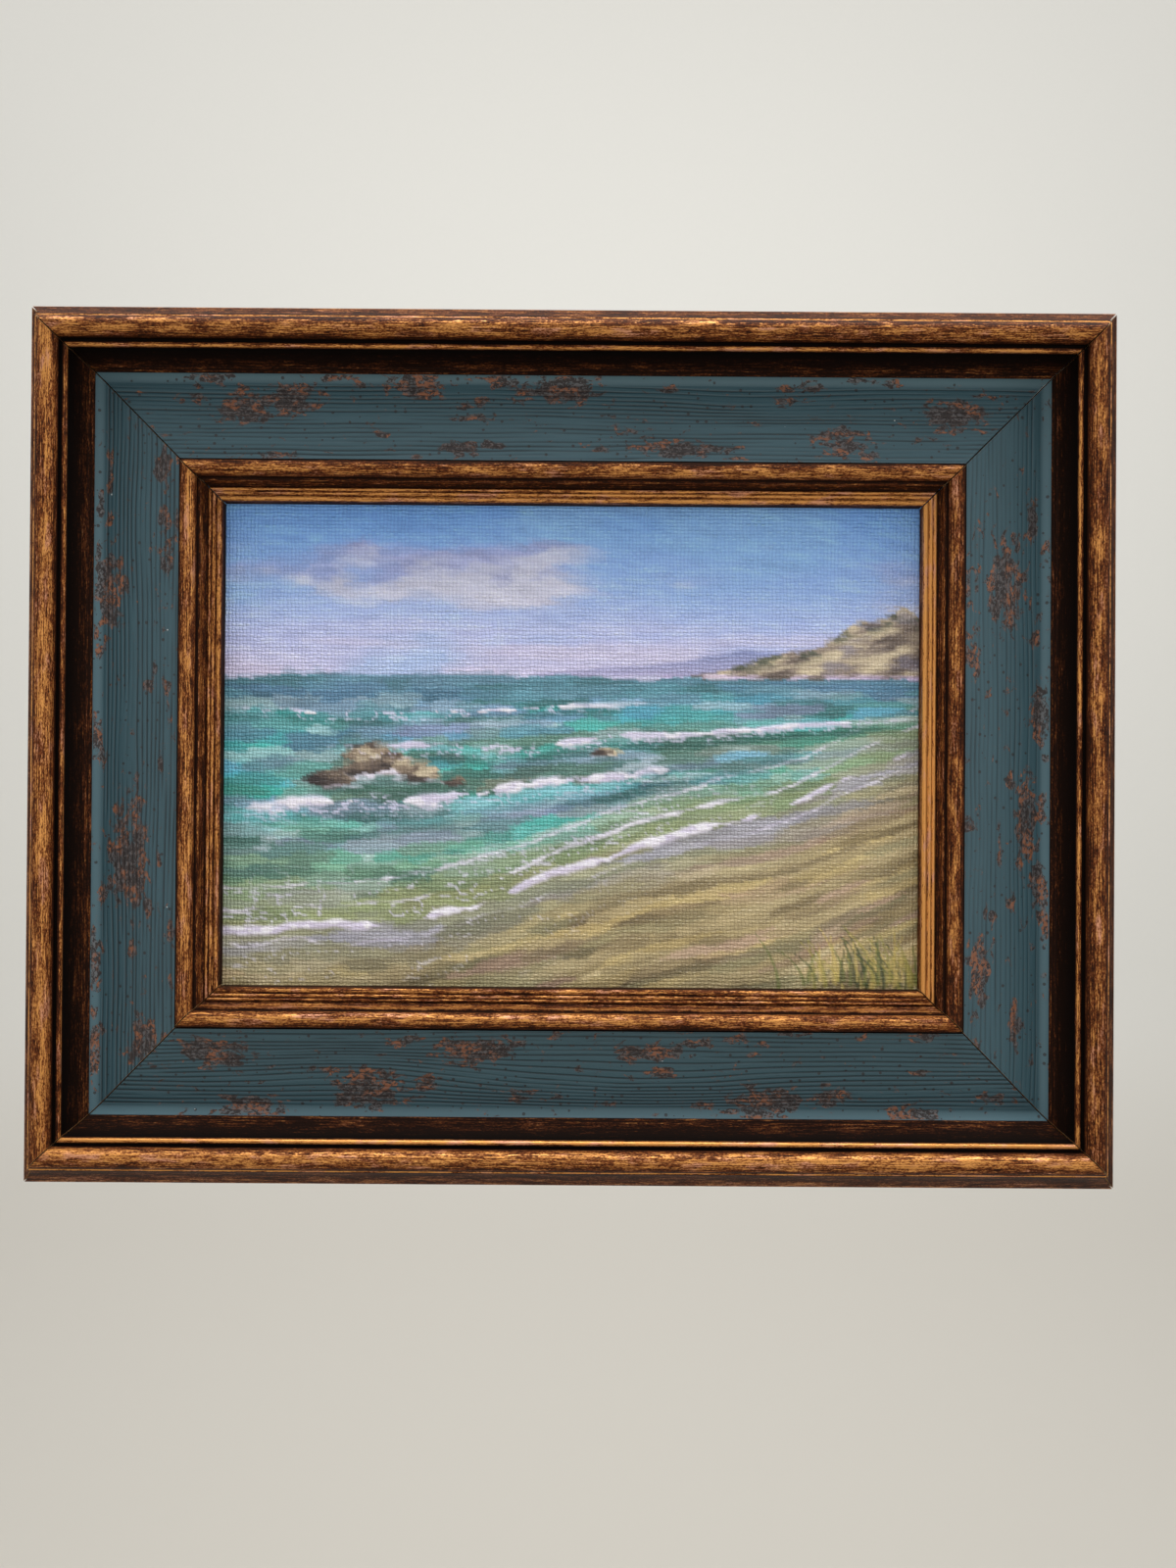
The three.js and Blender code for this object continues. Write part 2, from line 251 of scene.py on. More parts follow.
class Net:
    """The nodes of one finish."""

    def __init__(self, name: str) -> None:
        """Starts an empty material."""
        self.material = bpy.data.materials.new(name)
        self.material.use_nodes = True
        self.tree = self.material.node_tree
        self.tree.nodes.clear()

    def node(
        self, kind: str, settings: dict[str, Setting], sockets: dict[int | str, Input]
    ) -> bpy.types.Node:
        """Adds one node.

        Args:
            kind: The node's type.
            settings: Its settings, which are set before its sockets.
            sockets: A plain value, a Value or an output for each input, by number or name.

        Returns:
            The node.
        """
        node = self.tree.nodes.new(kind)
        for name, setting in settings.items():
            setattr(node, name, setting)
        for key, given in sockets.items():
            source = given.socket if isinstance(given, Value) else given
            if isinstance(source, bpy.types.NodeSocket):
                self.tree.links.new(source, node.inputs[key])
            else:
                node.inputs[key].default_value = source
        return node

    def lay(self) -> bpy.types.NodeSocket:
        """The place on a rail's skin in millimetres: along the rail, and across its section."""
        return self.node("ShaderNodeUVMap", {"uv_map": LAY_MAP}, {}).outputs[0]

    def place(self) -> bpy.types.NodeSocket:
        """The place in the object's own frame, in metres."""
        return self.node("ShaderNodeTexCoord", {}, {}).outputs["Object"]

    def parts(self, vector: bpy.types.NodeSocket) -> tuple[Value, Value, Value]:
        """The three numbers of a vector."""
        node = self.node("ShaderNodeSeparateXYZ", {}, {0: vector})
        return Value(self, node.outputs[0]), Value(self, node.outputs[1]), Value(self, node.outputs[2])

    def number(self, name: str) -> Value:
        """A number that the mesh carries at each point."""
        return Value(self, self.node("ShaderNodeAttribute", {"attribute_name": name}, {}).outputs["Fac"])

    def tint(self, name: str) -> bpy.types.NodeSocket:
        """A colour that the mesh carries at each point."""
        return self.node("ShaderNodeAttribute", {"attribute_name": name}, {}).outputs["Color"]

    def scaled(self, vector: bpy.types.NodeSocket, cell: Triple, shift: float) -> bpy.types.NodeSocket:
        """Divides a place by the size of a cell and moves it along.

        Args:
            vector: The place.
            cell: The cell's size, in the place's own unit.
            shift: How many cells the pattern is moved, which makes it another one.

        Returns:
            The place in cells.
        """
        sockets = {
            0: vector,
            1: tuple(1.0 / size for size in cell),
            2: (shift, 1.7 * shift, 0.6 * shift),
        }
        return self.node("ShaderNodeVectorMath", {"operation": "MULTIPLY_ADD"}, sockets).outputs[0]

    def cloud(self, vector: bpy.types.NodeSocket, cloud: Cloud) -> Value:
        """Lays smooth noise over a place.

        Args:
            vector: The place.
            cloud: The noise.

        Returns:
            The noise, about 0.5 on average.
        """
        sockets = {
            "Vector": self.scaled(vector, cloud.cell, cloud.shift),
            "Scale": 1.0,
            "Detail": cloud.detail,
            "Roughness": 0.55,
            "Distortion": cloud.bend,
        }
        return Value(self, self.node("ShaderNodeTexNoise", {}, sockets).outputs[0])

    def specks(self, vector: bpy.types.NodeSocket, specks: Specks) -> Value:
        """Scatters specks over a place, round the points of a jittered grid.

        Args:
            vector: The place.
            specks: The specks.

        Returns:
            1 inside a speck and 0 outside.
        """
        cells = self.node(
            "ShaderNodeTexVoronoi",
            {"voronoi_dimensions": "2D"},
            {"Vector": self.scaled(vector, (specks.pitch,) * 3, specks.shift), "Scale": 1.0},
        )
        lot, size, _ = self.parts(cells.outputs["Color"])
        empty, largest = 1.0 - specks.share, specks.radius / specks.pitch
        reach = lot.ease(empty, empty + 0.02) * (0.4 + 0.6 * size) * largest
        return (reach - Value(self, cells.outputs["Distance"])).ease(0.0, 0.25 * largest)

    def blend(
        self, share: Value | float, below: Input, above: Input, mode: str = "MIX"
    ) -> bpy.types.NodeSocket:
        """Mixes two colours.

        Args:
            share: How much of the upper colour shows.
            below: The lower colour.
            above: The upper colour.
            mode: The way that they mix.

        Returns:
            The mixed colour.
        """
        settings = {"data_type": "RGBA", "blend_type": mode}
        return self.node("ShaderNodeMix", settings, {0: share, 6: below, 7: above}).outputs[2]

    def bump(self, height: Value, depth_mm: float) -> bpy.types.NodeSocket:
        """A normal that leans with a height.

        Args:
            height: The height, from 0 to 1.
            depth_mm: What a height of 1 measures, in millimetres.

        Returns:
            The normal.
        """
        sockets = {"Height": height, "Distance": depth_mm * MM, "Strength": 1.0}
        return self.node("ShaderNodeBump", {}, sockets).outputs[0]

    def surface(self, sockets: dict[str, Input]) -> bpy.types.Material:
        """Closes the net with one principled surface.

        Args:
            sockets: What its sockets take, by name.

        Returns:
            The finished material.
        """
        shader = self.node("ShaderNodeBsdfPrincipled", {}, sockets)
        self.node("ShaderNodeOutputMaterial", {}, {"Surface": shader.outputs[0]})
        return self.material


# Finishes ---------------------------------------------------------------------------------------


@dataclass(frozen=True)
class RubbedBronze:
    """Dark brown lacquer rubbed through to gold in fine wavy streaks along the moulding."""

    # The near-black ground of the recesses: dark patina with painted shade over it.
    hollow: Colour = pigment(5, 3, 2)
    patina: Colour = pigment(44, 23, 13)
    umber: Colour = pigment(110, 56, 26)
    gold: Colour = pigment(212, 146, 76)
    blush: Colour = pigment(208, 146, 112)
    ripple: Cloud = Cloud((2.2, 0.30, 1.0), 2.0, 3.1, 0.4)
    fleck: Cloud = Cloud((0.62, 0.20, 1.0), 2.0, 11.7, 0.4)
    thread: Cloud = Cloud((11.0, 0.24, 1.0), 2.0, 23.9)
    drift: Cloud = Cloud((10.0, 2.4, 1.0), 3.0, 41.3, 0.5)
    warmth: Cloud = Cloud((7.0, 2.0, 1.0), 2.0, 57.7)
    rubbed_at: Pair = (0.43, 0.54)
    bright_at: Pair = (0.515, 0.635)
    warm_at: Pair = (0.52, 0.70)

    def make(self) -> bpy.types.Material:
        """Streaks, flecks and slow clouds make one tone, which wear lifts; the tone picks the colour.

        Returns:
            The finish of the beads, the lip, the wall and the outer slope.
        """
        net = Net("rubbed_bronze")
        lay, wear, deep = net.lay(), net.number("wear"), net.number("deep")
        tone = 0.34 * net.cloud(lay, self.ripple) + 0.34 * net.cloud(lay, self.fleck)
        tone = tone + 0.32 * net.cloud(lay, self.thread)
        tone = tone + 0.30 * (net.cloud(lay, self.drift) - 0.5) + 0.40 * (wear - 0.5)
        rubbed = tone.ease(*self.rubbed_at) * (1.0 - 0.85 * deep)
        bright = tone.ease(*self.bright_at) * (1.0 - deep)
        warm = net.cloud(lay, self.warmth).ease(*self.warm_at)
        # Where the mesh's 'deep' number is high (walls, nicks, cove, lip underside) the ground runs to near
        # black: partly real dark patina, partly painted shade.
        ground = net.blend(deep, self.patina, self.hollow)
        leaf = net.blend(warm, self.gold, self.blush)
        colour = net.blend(rubbed, ground, self.umber)
        colour = net.blend(bright, colour, leaf)
        return net.surface(
            {
                "Base Color": colour,
                "Metallic": 0.7 * bright,
                "Roughness": 0.60 + 0.14 * deep - 0.2 * bright,
                "Specular IOR Level": 0.06,
                "Coat Weight": 0.24 * bright,
                "Coat Roughness": 0.3,
                "Normal": net.bump(tone, 0.09),
            }
        )


@dataclass(frozen=True)
class DistressedTeal:
    """Matt blue-green paint over brushed grain, chipped through to rust brown and dark wood."""

    deep: Colour = pigment(43, 71, 79)
    light: Colour = pigment(61, 93, 103)
    grime_and_groove_shade: Colour = pigment(21, 31, 34)
    rust: Colour = pigment(146, 90, 58)
    char: Colour = pigment(38, 29, 27)
    dust: Colour = pigment(190, 196, 196)
    painted_sheen: Colour = pigment(92, 122, 131)
    brushed: Cloud = Cloud((22.0, 0.9, 1.0), 3.0, 5.3)
    drift: Cloud = Cloud((30.0, 9.0, 1.0), 2.0, 9.7)
    flake: Cloud = Cloud((3.0, 1.9, 1.0), 4.0, 31.1, 0.6)
    crumb: Cloud = Cloud((1.0, 0.64, 1.0), 3.0, 47.9, 1.0)
    kind: Cloud = Cloud((5.0, 3.0, 1.0), 2.0, 61.3, 0.4)
    kernel: Cloud = Cloud((1.2, 0.76, 1.0), 2.0, 53.3, 0.8)
    dots: Specks = Specks(2.1, 0.46, 0.26, 71.9)
    motes: Specks = Specks(6.5, 0.26, 0.03, 83.3)
    chipped_at: Pair = (0.60, 0.68)
    soot_at: Pair = (0.43, 0.51)
    rusty_at: Pair = (0.46, 0.62)
    kernel_at: Pair = (0.47, 0.55)

    def make(self) -> bpy.types.Material:
        """Paint darker in the grooves, partly dirt and partly painted shade, then chips where the wear is,
        dark specks and rare dust.

        The paint is paler in the hollow along the flat's outer edge: a painted sheen.

        Returns:
            The finish of the flat between the two bronze mouldings.
        """
        net = Net("distressed_teal")
        lay, groove, worn = net.lay(), net.number("groove"), net.number("chipping")
        brushed = net.cloud(lay, self.brushed)
        paint = net.blend(0.5 * brushed + 0.5 * net.cloud(lay, self.drift), self.deep, self.light)
        # Grooves darkened by dirt and by painted shade.
        paint = net.blend(0.88 * groove, paint, self.grime_and_groove_shade)
        # Painted sheen: the fillet's wear number lightens the paint.
        paint = net.blend(0.42 * net.number("wear"), paint, self.painted_sheen)
        zone = (0.96 * net.cloud(lay, self.flake) + 0.30 * worn).ease(*self.chipped_at)
        soot = zone * net.cloud(lay, self.crumb).ease(*self.soot_at)
        kind = net.cloud(lay, self.kind).ease(*self.rusty_at)
        heart = zone * kind * net.cloud(lay, self.kernel).ease(*self.kernel_at)
        bare, dots = soot.most(heart), net.specks(lay, self.dots)
        paint = net.blend(0.24 * zone, paint, self.rust)
        colour = net.blend(0.92 * soot, paint, self.char)
        colour = net.blend(0.8 * heart, colour, self.rust)
        colour = net.blend(0.8 * dots, colour, self.char)
        colour = net.blend(net.specks(lay, self.motes), colour, self.dust)
        height = 0.6 * brushed - 0.5 * bare - 0.4 * dots
        return net.surface(
            {
                "Base Color": colour,
                "Roughness": 0.52 + 0.12 * bare,
                "Normal": net.bump(height, 0.08),
            }
        )


@dataclass(frozen=True)
class BareTimber:
    """Pale softwood as it left the saw, with brown lacquer strayed over its edges."""

    early: Colour = pigment(214, 184, 140)
    late: Colour = pigment(176, 132, 84)
    thick: Colour = pigment(50, 31, 20)
    thin: Colour = pigment(98, 62, 36)
    bend: Cloud = Cloud((60.0, 14.0, 1.0), 2.0, 7.7)
    pore: Cloud = Cloud((7.0, 0.3, 1.0), 2.0, 19.1)
    mist: Cloud = Cloud((3.0, 1.5, 1.0), 4.0, 29.3)
    brushed: Cloud = Cloud((26.0, 0.8, 1.0), 3.0, 37.9)
    pool: Cloud = Cloud((18.0, 7.0, 1.0), 3.0, 45.1)
    ring_turn: float = 2.1
    saw_turn: float = 3.4
    lacquer_at: Pair = (0.25, 0.6)
    streak_at: Pair = (0.42, 0.62)

    def make(self) -> bpy.types.Material:
        """Growth rings as bent bands along the rail, saw marks across, and lacquer where it strayed.

        The lacquer lies in brushed streaks, and is thinner over the hard late wood.

        Returns:
            The finish of the back and the rebate.
        """
        net = Net("bare_timber")
        lay, stray = net.lay(), net.number("stray")
        along, across, _ = net.parts(lay)
        bend, pore, brushed = (net.cloud(lay, cloud) for cloud in (self.bend, self.pore, self.brushed))
        ring = (across * self.ring_turn + bend * 16.0).sine()
        saw = (along * self.saw_turn + bend * 3.0).sine()
        wood = net.blend((0.5 + 0.5 * ring).ease(0.35, 1.0) * 0.7 + 0.3 * pore, self.early, self.late)
        lacquer = (stray * 1.3 + net.cloud(lay, self.mist) - 0.62).ease(*self.lacquer_at)
        streak = (0.6 * brushed + 0.4 * net.cloud(lay, self.pool) + 0.05 * ring).ease(*self.streak_at)
        colour = net.blend(lacquer, wood, net.blend(streak, self.thick, self.thin))
        return net.surface(
            {
                "Base Color": colour,
                "Roughness": 0.72 - 0.26 * lacquer + 0.1 * streak,
                "Normal": net.bump(0.5 * pore + 0.2 * saw + 0.3 * brushed * lacquer, 0.09),
            }
        )


@dataclass(frozen=True)
class OilPaint:
    """Oils over woven canvas: thin washes that let the weave show, and thicker light touches."""

    pitch: float = 0.88
    sway: Cloud = Cloud((6.0 * MM, 1.0, 6.0 * MM), 3.0, 2.9)
    fat_warp: Cloud = Cloud((0.9 * MM, 1.0, 9.0 * MM), 1.0, 31.9)
    fat_weft: Cloud = Cloud((9.0 * MM, 1.0, 0.9 * MM), 1.0, 43.7)
    bristle: Cloud = Cloud((1.8 * MM, 1.0, 0.25 * MM), 3.0, 13.7)
    covered_at: Pair = (0.1, 0.7)

    def make(self) -> bpy.types.Material:
        """The mesh's pigment, with painted shade between the threads, painted highlights on them, and bristle
        streaks.

        A thread rises where the sine of its own direction is large, and passes over or under the
        other by the sign of the product of both sines.

        Returns:
            The finish of the panel's face.
        """
        net = Net("oil_on_canvas")
        paint, place = net.tint("pigment"), net.place()
        sway, bristle = net.cloud(place, self.sway), net.cloud(place, self.bristle)
        right, _, up = net.parts(place)
        turn = math.pi / (self.pitch * MM)
        warp, weft = (right * turn + 4.0 * sway).sine(), (up * turn + 3.4 * sway).sine()
        over = 0.5 + 0.5 * warp * weft
        weave = 1.3 * over * warp.size() * net.cloud(place, self.fat_warp)
        weave = weave + 1.6 * (1.0 - over) * weft.size() * net.cloud(place, self.fat_weft)
        covered = net.number("impasto").ease(*self.covered_at)
        gap = (1.0 - weave) * (1.0 - 0.7 * covered)
        # Painted shade darkens the gaps between threads; a painted highlight lightens the weave's crests and
        # the bristle streaks.
        gap_shade, crest_highlight = (0.0, 0.0, 0.0, 1.0), (1.0, 1.0, 1.0, 1.0)
        colour = net.blend(0.21 * gap, paint, gap_shade)
        colour = net.blend(0.26 * bristle + 0.58 * weave, colour, crest_highlight, "SOFT_LIGHT")
        height = 0.9 * weave * (1.0 - 0.5 * covered) + 0.45 * bristle
        return net.surface(
            {
                "Base Color": colour,
                "Roughness": 0.44 - 0.1 * covered,
                "Normal": net.bump(height, 0.36),
            }
        )


@dataclass(frozen=True)
class PanelBack:
    """Grey pasteboard with a border of primed cotton folded over it."""

    board: Colour = pigment(158, 146, 128)
    fibre: Colour = pigment(122, 110, 94)
    cotton: Colour = pigment(226, 221, 208)
    shadow: Colour = pigment(150, 142, 126)
    felt: Cloud = Cloud((2.2 * MM, 1.0, 0.7 * MM), 4.0, 3.3, 1.2)
    fibre_at: Pair = (0.45, 0.75)
    pitch: float = 0.88

    def make(self) -> bpy.types.Material:
        """Weave on the border, short fibres on the board, and a dark line at each mitred fold.

        Returns:
            The finish of the panel's back and edges.
        """
        net = Net("panel_back")
        place = net.place()
        right, _, up = net.parts(place)
        turn = math.pi / (self.pitch * MM)
        weave = 0.5 * (right * turn).sine().size() + 0.5 * (up * turn).sine().size()
        fibre = net.cloud(place, self.felt).ease(*self.fibre_at)
        board = net.blend(fibre, self.board, self.fibre)
        cotton = net.blend(0.5 * (1.0 - weave), self.cotton, self.shadow)
        cotton = net.blend(0.8 * net.number("fold"), cotton, self.shadow)
        border = net.number("border").ease(0.45, 0.55)
        return net.surface(
            {
                "Base Color": net.blend(border, board, cotton),
                "Roughness": 0.86,
                "Normal": net.bump(border * weave + 0.4 * fibre, 0.12),
            }
        )


@dataclass(frozen=True)
class SheetMetal:
    """Thin plated sheet with fine rolling lines, duller where clouds of tarnish lie."""

    name: str
    metal: Colour
    tarnish: Colour
    roughness: float
    spread: Cloud = Cloud((2.6 * MM, 2.6 * MM, 2.6 * MM), 4.0, 5.9, 0.4)
    lines: Cloud = Cloud((4.0 * MM, 0.3 * MM, 0.12 * MM), 2.0, 15.1)
    dull_at: Pair = (0.5, 0.72)

    def make(self) -> bpy.types.Material:
        """Clouds choose between metal and tarnish, and fine rolling lines lean the surface.

        Returns:
            The finish of the sheet.
        """
        net = Net(self.name)
        place = net.place()
        dull = net.cloud(place, self.spread).ease(*self.dull_at)
        return net.surface(
            {
                "Base Color": net.blend(dull, self.metal, self.tarnish),
                "Metallic": 1.0,
                "Roughness": self.roughness + 0.22 * dull,
                "Normal": net.bump(net.cloud(place, self.lines), 0.02),
            }
        )


# Meshes -----------------------------------------------------------------------------------------


@dataclass
class Skin:
    """The arrays of one closed piece, before they go into a mesh.

    Quads come first and caps after them, in every list of faces or corners.
    """

    points: np.ndarray
    quads: np.ndarray
    caps: list[np.ndarray]
    slots: np.ndarray
    maps: dict[str, tuple[np.ndarray, list[np.ndarray]]] = field(default_factory=dict)
    numbers: dict[str, np.ndarray] = field(default_factory=dict)
    tints: dict[str, np.ndarray] = field(default_factory=dict)

    def volume(self) -> float:
        """Sums the tetrahedra from the origin to each triangle of a fan over every face.

        Returns:
            The volume inside, which is negative when the faces point inwards.
        """
        fans = [self.quads[:, [0, 1, 2]], self.quads[:, [0, 2, 3]]]
        fans += [
            np.stack([np.full(len(cap) - 2, cap[0]), cap[1:-1], cap[2:]], axis=1) for cap in self.caps
        ]
        corners = self.points[np.concatenate(fans)]
        return float(np.einsum("ij,ij->", corners[:, 0], np.cross(corners[:, 1], corners[:, 2])) / 6.0)

    def turn_out(self) -> None:
        """Reverses every face when the faces point inwards."""
        if self.volume() < 0.0:
            self.quads = self.quads[:, ::-1]
            self.caps = [cap[::-1] for cap in self.caps]
            self.maps = {
                name: (quads[:, ::-1], [cap[::-1] for cap in caps])
                for name, (quads, caps) in self.maps.items()
            }

    def cast(
        self,
        name: str,
        finishes: Iterable[bpy.types.Material],
        sharp: Callable[[np.ndarray], np.ndarray],
    ) -> bpy.types.Object:
        """Makes the object, with its place in its mesh.

        Args:
            name: The piece's name.
            finishes: The materials, in the order of the slots.
            sharp: Says which edges are sharp, given the two points of each.

        Returns:
            The object, linked to the scene.
        """
        self.turn_out()
        mesh = bpy.data.meshes.new(name)
        faces = self.quads.tolist() + [cap.tolist() for cap in self.caps]
        mesh.from_pydata(self.points.tolist(), [], faces, shade_flat=False)
        mesh.polygons.foreach_set("material_index", self.slots.astype(np.int32))
        edges = np.empty(2 * len(mesh.edges), np.int32)
        mesh.edges.foreach_get("vertices", edges)
        crease = mesh.attributes.new("sharp_edge", "BOOLEAN", "EDGE")
        crease.data.foreach_set("value", sharp(edges.reshape(-1, 2)))
        for map_name, (quads, caps) in self.maps.items():
            corners = np.concatenate([quads.reshape(-1, 2), *caps]).astype(np.float32)
            mesh.uv_layers.new(name=map_name).data.foreach_set("uv", corners.ravel())
        for kind, word, layers in (("FLOAT", "value", self.numbers), ("FLOAT_COLOR", "color", self.tints)):
            for key, values in layers.items():
                layer = mesh.attributes.new(key, kind, "POINT")
                layer.data.foreach_set(word, values.astype(np.float32).ravel())
        for finish in finishes:
            mesh.materials.append(finish)
        mesh.update()
        return link(name, mesh)


def grid(rows: int, columns: int) -> tuple[np.ndarray, np.ndarray]:
    """Corners of the quads of a grid, turning the same way in each.

    Args:
        rows: How many steps there are from row to row.
        columns: How many steps there are from column to column.

    Returns:
        The row and the column of the four corners of each quad.
    """
    row, column = np.meshgrid(np.arange(rows), np.arange(columns), indexing="ij")
    row, column = row.ravel(), column.ravel()
    return (
        np.stack([row, row + 1, row + 1, row], axis=1),
        np.stack([column, column, column + 1, column + 1], axis=1),
    )


# The moulding -----------------------------------------------------------------------------------


class Coat(Enum):
    """What a stretch of the moulding is finished with, in the order of the material slots."""

    BRONZE = 0
    TEAL = 1
    TIMBER = 2


@dataclass
class Stretch:
    """One stretch of the section: its points, its coat, and the wear, depth and stray of each point."""

    points: np.ndarray
    coat: Coat
    marks: np.ndarray


@dataclass
class Moulding:
    """The rails' section, in millimetres: out from the sight edge, and up from the frame's back."""

    width: float = 48.0
    rebate: float = 7.0
    underside: float = 8.0
    lip: Pair = (0.0, 11.2)
    lip_head: Pair = (3.1, 11.6)
    cove_foot: Pair = (3.2, 11.2)
    cove_head: Pair = (4.2, 13.6)
    ledge: Pair = (4.9, 13.7)
    inner_bead: Pair = (4.95, 14.6)
    inner_bead_head: Pair = (8.8, 14.8)
    panel: Pair = (9.3, 14.0)
    panel_head: Pair = (28.2, 10.2)
    fillet_head: Pair = (30.3, 11.0)
    wall_foot: Pair = (31.5, 12.4)
    wall_head: Pair = (33.4, 18.9)
    small_bead_head: Pair = (34.4, 19.5)
    outer_bead: Pair = (35.3, 20.1)
    outer_bead_head: Pair = (40.1, 20.1)
    arris: Pair = (40.4, 19.7)
    slope_head: Pair = (40.8, 19.6)
    slope_foot: Pair = (47.7, 6.3)
    side_head: Pair = (48.0, 5.8)
    side_foot: Pair = (48.0, 0.8)
    back_edge: Pair = (47.2, 0.0)
    inner_rise: float = 1.85
    outer_rise: float = 2.3
    small_rise: float = 0.45
    cove_sink: float = 0.35
    fillet_sink: float = 0.2
    wall_sink: float = 0.35
    slope_sink: float = 0.9
    quirk: float = 0.5
    draft: float = 0.05
    reed_gap: float = 0.12
    lip_reeds: tuple[Pair, ...] = ((0.42, 0.34), (0.32, 0.24), (0.26, 0.2))
    foot_reeds: tuple[Pair, ...] = ((0.5, 0.14), (0.5, 0.14))
    panel_step: float = 0.132

    @staticmethod
    def bow(start: Pair, end: Pair, rise: float, step: float) -> np.ndarray:
        """Points of a round stretch: an arc on the chord from start to end.

        Its radius is c²/8s + s/2 for a chord c and a rise s. A negative rise is hollow, and a rise
        of 0 is straight.

        Args:
            start: The first end.
            end: The other end.
            rise: How far the middle stands proud of the chord.
            step: The longest step along the chord.

        Returns:
            The points, both ends among them.
        """
        first, chord = np.array(start), np.array(end) - np.array(start)
        length = float(np.hypot(*chord))
        along = chord / length
        out = np.array([-along[1], along[0]])
        count = max(1, math.ceil(length / step))
        share = np.linspace(-1.0, 1.0, count + 1)
        if rise == 0.0:
            forward, lift = 0.5 * length * (1.0 + share), 0.0 * share
        else:
            radius = length**2 / (8.0 * abs(rise)) + abs(rise) / 2.0
            angle = math.asin(min(1.0, length / (2.0 * radius))) * share
            forward = length / 2.0 + radius * np.sin(angle)
            lift = math.copysign(1.0, rise) * (radius * np.cos(angle) - radius + abs(rise))
        return first + np.outer(forward, along) + np.outer(lift, out)

    @staticmethod
    def stretch(
        points: np.ndarray, coat: Coat, wear: Triple, deep: Pair = (0.0, 0.0), stray: Pair = (0.0, 0.0)
    ) -> Stretch:
        """Gives a stretch its wear and depth.

        Args:
            points: Its points.
            coat: Its finish.
            wear: Wear at its start, middle and end, joined by a parabola's arch.
            deep: Darkness at its start and end, which stands for dark patina and painted shade.
            stray: Strayed lacquer at its start and end.

        Returns:
            The stretch.
        """
        share = np.linspace(0.0, 1.0, len(points))
        arch = 4.0 * share * (1.0 - share) * (wear[1] - 0.5 * (wear[0] + wear[2]))
        lines = [first + (last - first) * share for first, last in ((wear[0], wear[2]), deep, stray)]
        lines[0] = np.clip(lines[0] + arch, 0.0, 1.0)
        return Stretch(points, coat, np.stack(lines, axis=1))

    def reeds(
        self, start: Pair, end: Pair, shares: tuple[Pair, ...], step: float, wear: float, deep: float
    ) -> list[Stretch]:
        """Fine reeds side by side on a chord, with a sharp nick between neighbours.

        Args:
            start: The chord's first end.
            end: Its other end.
            shares: The share of the chord and the rise of each reed.
            step: The longest step between points.
            wear: How worn the crests are.
            deep: How dark the reeds lie, as dark patina and painted shade.

        Returns:
            One stretch for each reed.
        """
        first, chord = np.array(start), np.array(end) - np.array(start)
        nick = self.reed_gap / float(np.hypot(*chord))
        done, made = 0.0, []
        for share, rise in shares:
            near = first + chord * (done + nick if done > 0.0 else 0.0)
            done += share
            arc = self.bow(tuple(near), tuple(first + chord * done), rise, step)
            made.append(self.stretch(arc, Coat.BRONZE, (0.7 * wear, wear, 0.55 * wear), (deep, deep)))
        return made

    def nick(self, left: Pair, right: Pair) -> Stretch:
        """Makes the floor of the narrow groove between two parts of the face.

        Args:
            left: Where the part nearer the sight edge ends.
            right: Where the next part starts.

        Returns:
            The floor, which lies a quirk below the lower of the two.
        """
        floor = min(left[1], right[1]) - self.quirk
        points = np.array([(left[0], floor), (right[0] - self.draft, floor)])
        # The nick's floor is marked almost fully dark: painted shade in the crease over the dark patina.
        return self.stretch(points, Coat.BRONZE, (0.0, 0.0, 0.0), (0.9, 0.9))

    def stretches(self) -> list[Stretch]:
        """Goes round the whole section, from the sight edge over the face and the back to the rebate.

        Returns:
            The stretches, end to end.
        """
        bronze, teal, timber = Coat.BRONZE, Coat.TEAL, Coat.TIMBER
        heel, seat, foot = (self.rebate, 0.0), (self.rebate, self.underside), (0.0, self.underside)
        even, plain, slope_wear = (0.0, 0.0), (0.0, 0.0, 0.0), (0.3, 0.36, 0.5)

        def run(start: Pair, end: Pair, rise: float, step: float, coat: Coat, *marks: tuple) -> Stretch:
            """Makes one stretch on a chord.

            Args:
                start: The chord's first end.
                end: Its other end.
                rise: How far its middle stands proud.
                step: The longest step between points.
                coat: Its finish.
                marks: Its wear, then its darkness and strayed lacquer where it has them.

            Returns:
                The stretch.
            """
            return self.stretch(self.bow(start, end, rise, step), coat, *marks)

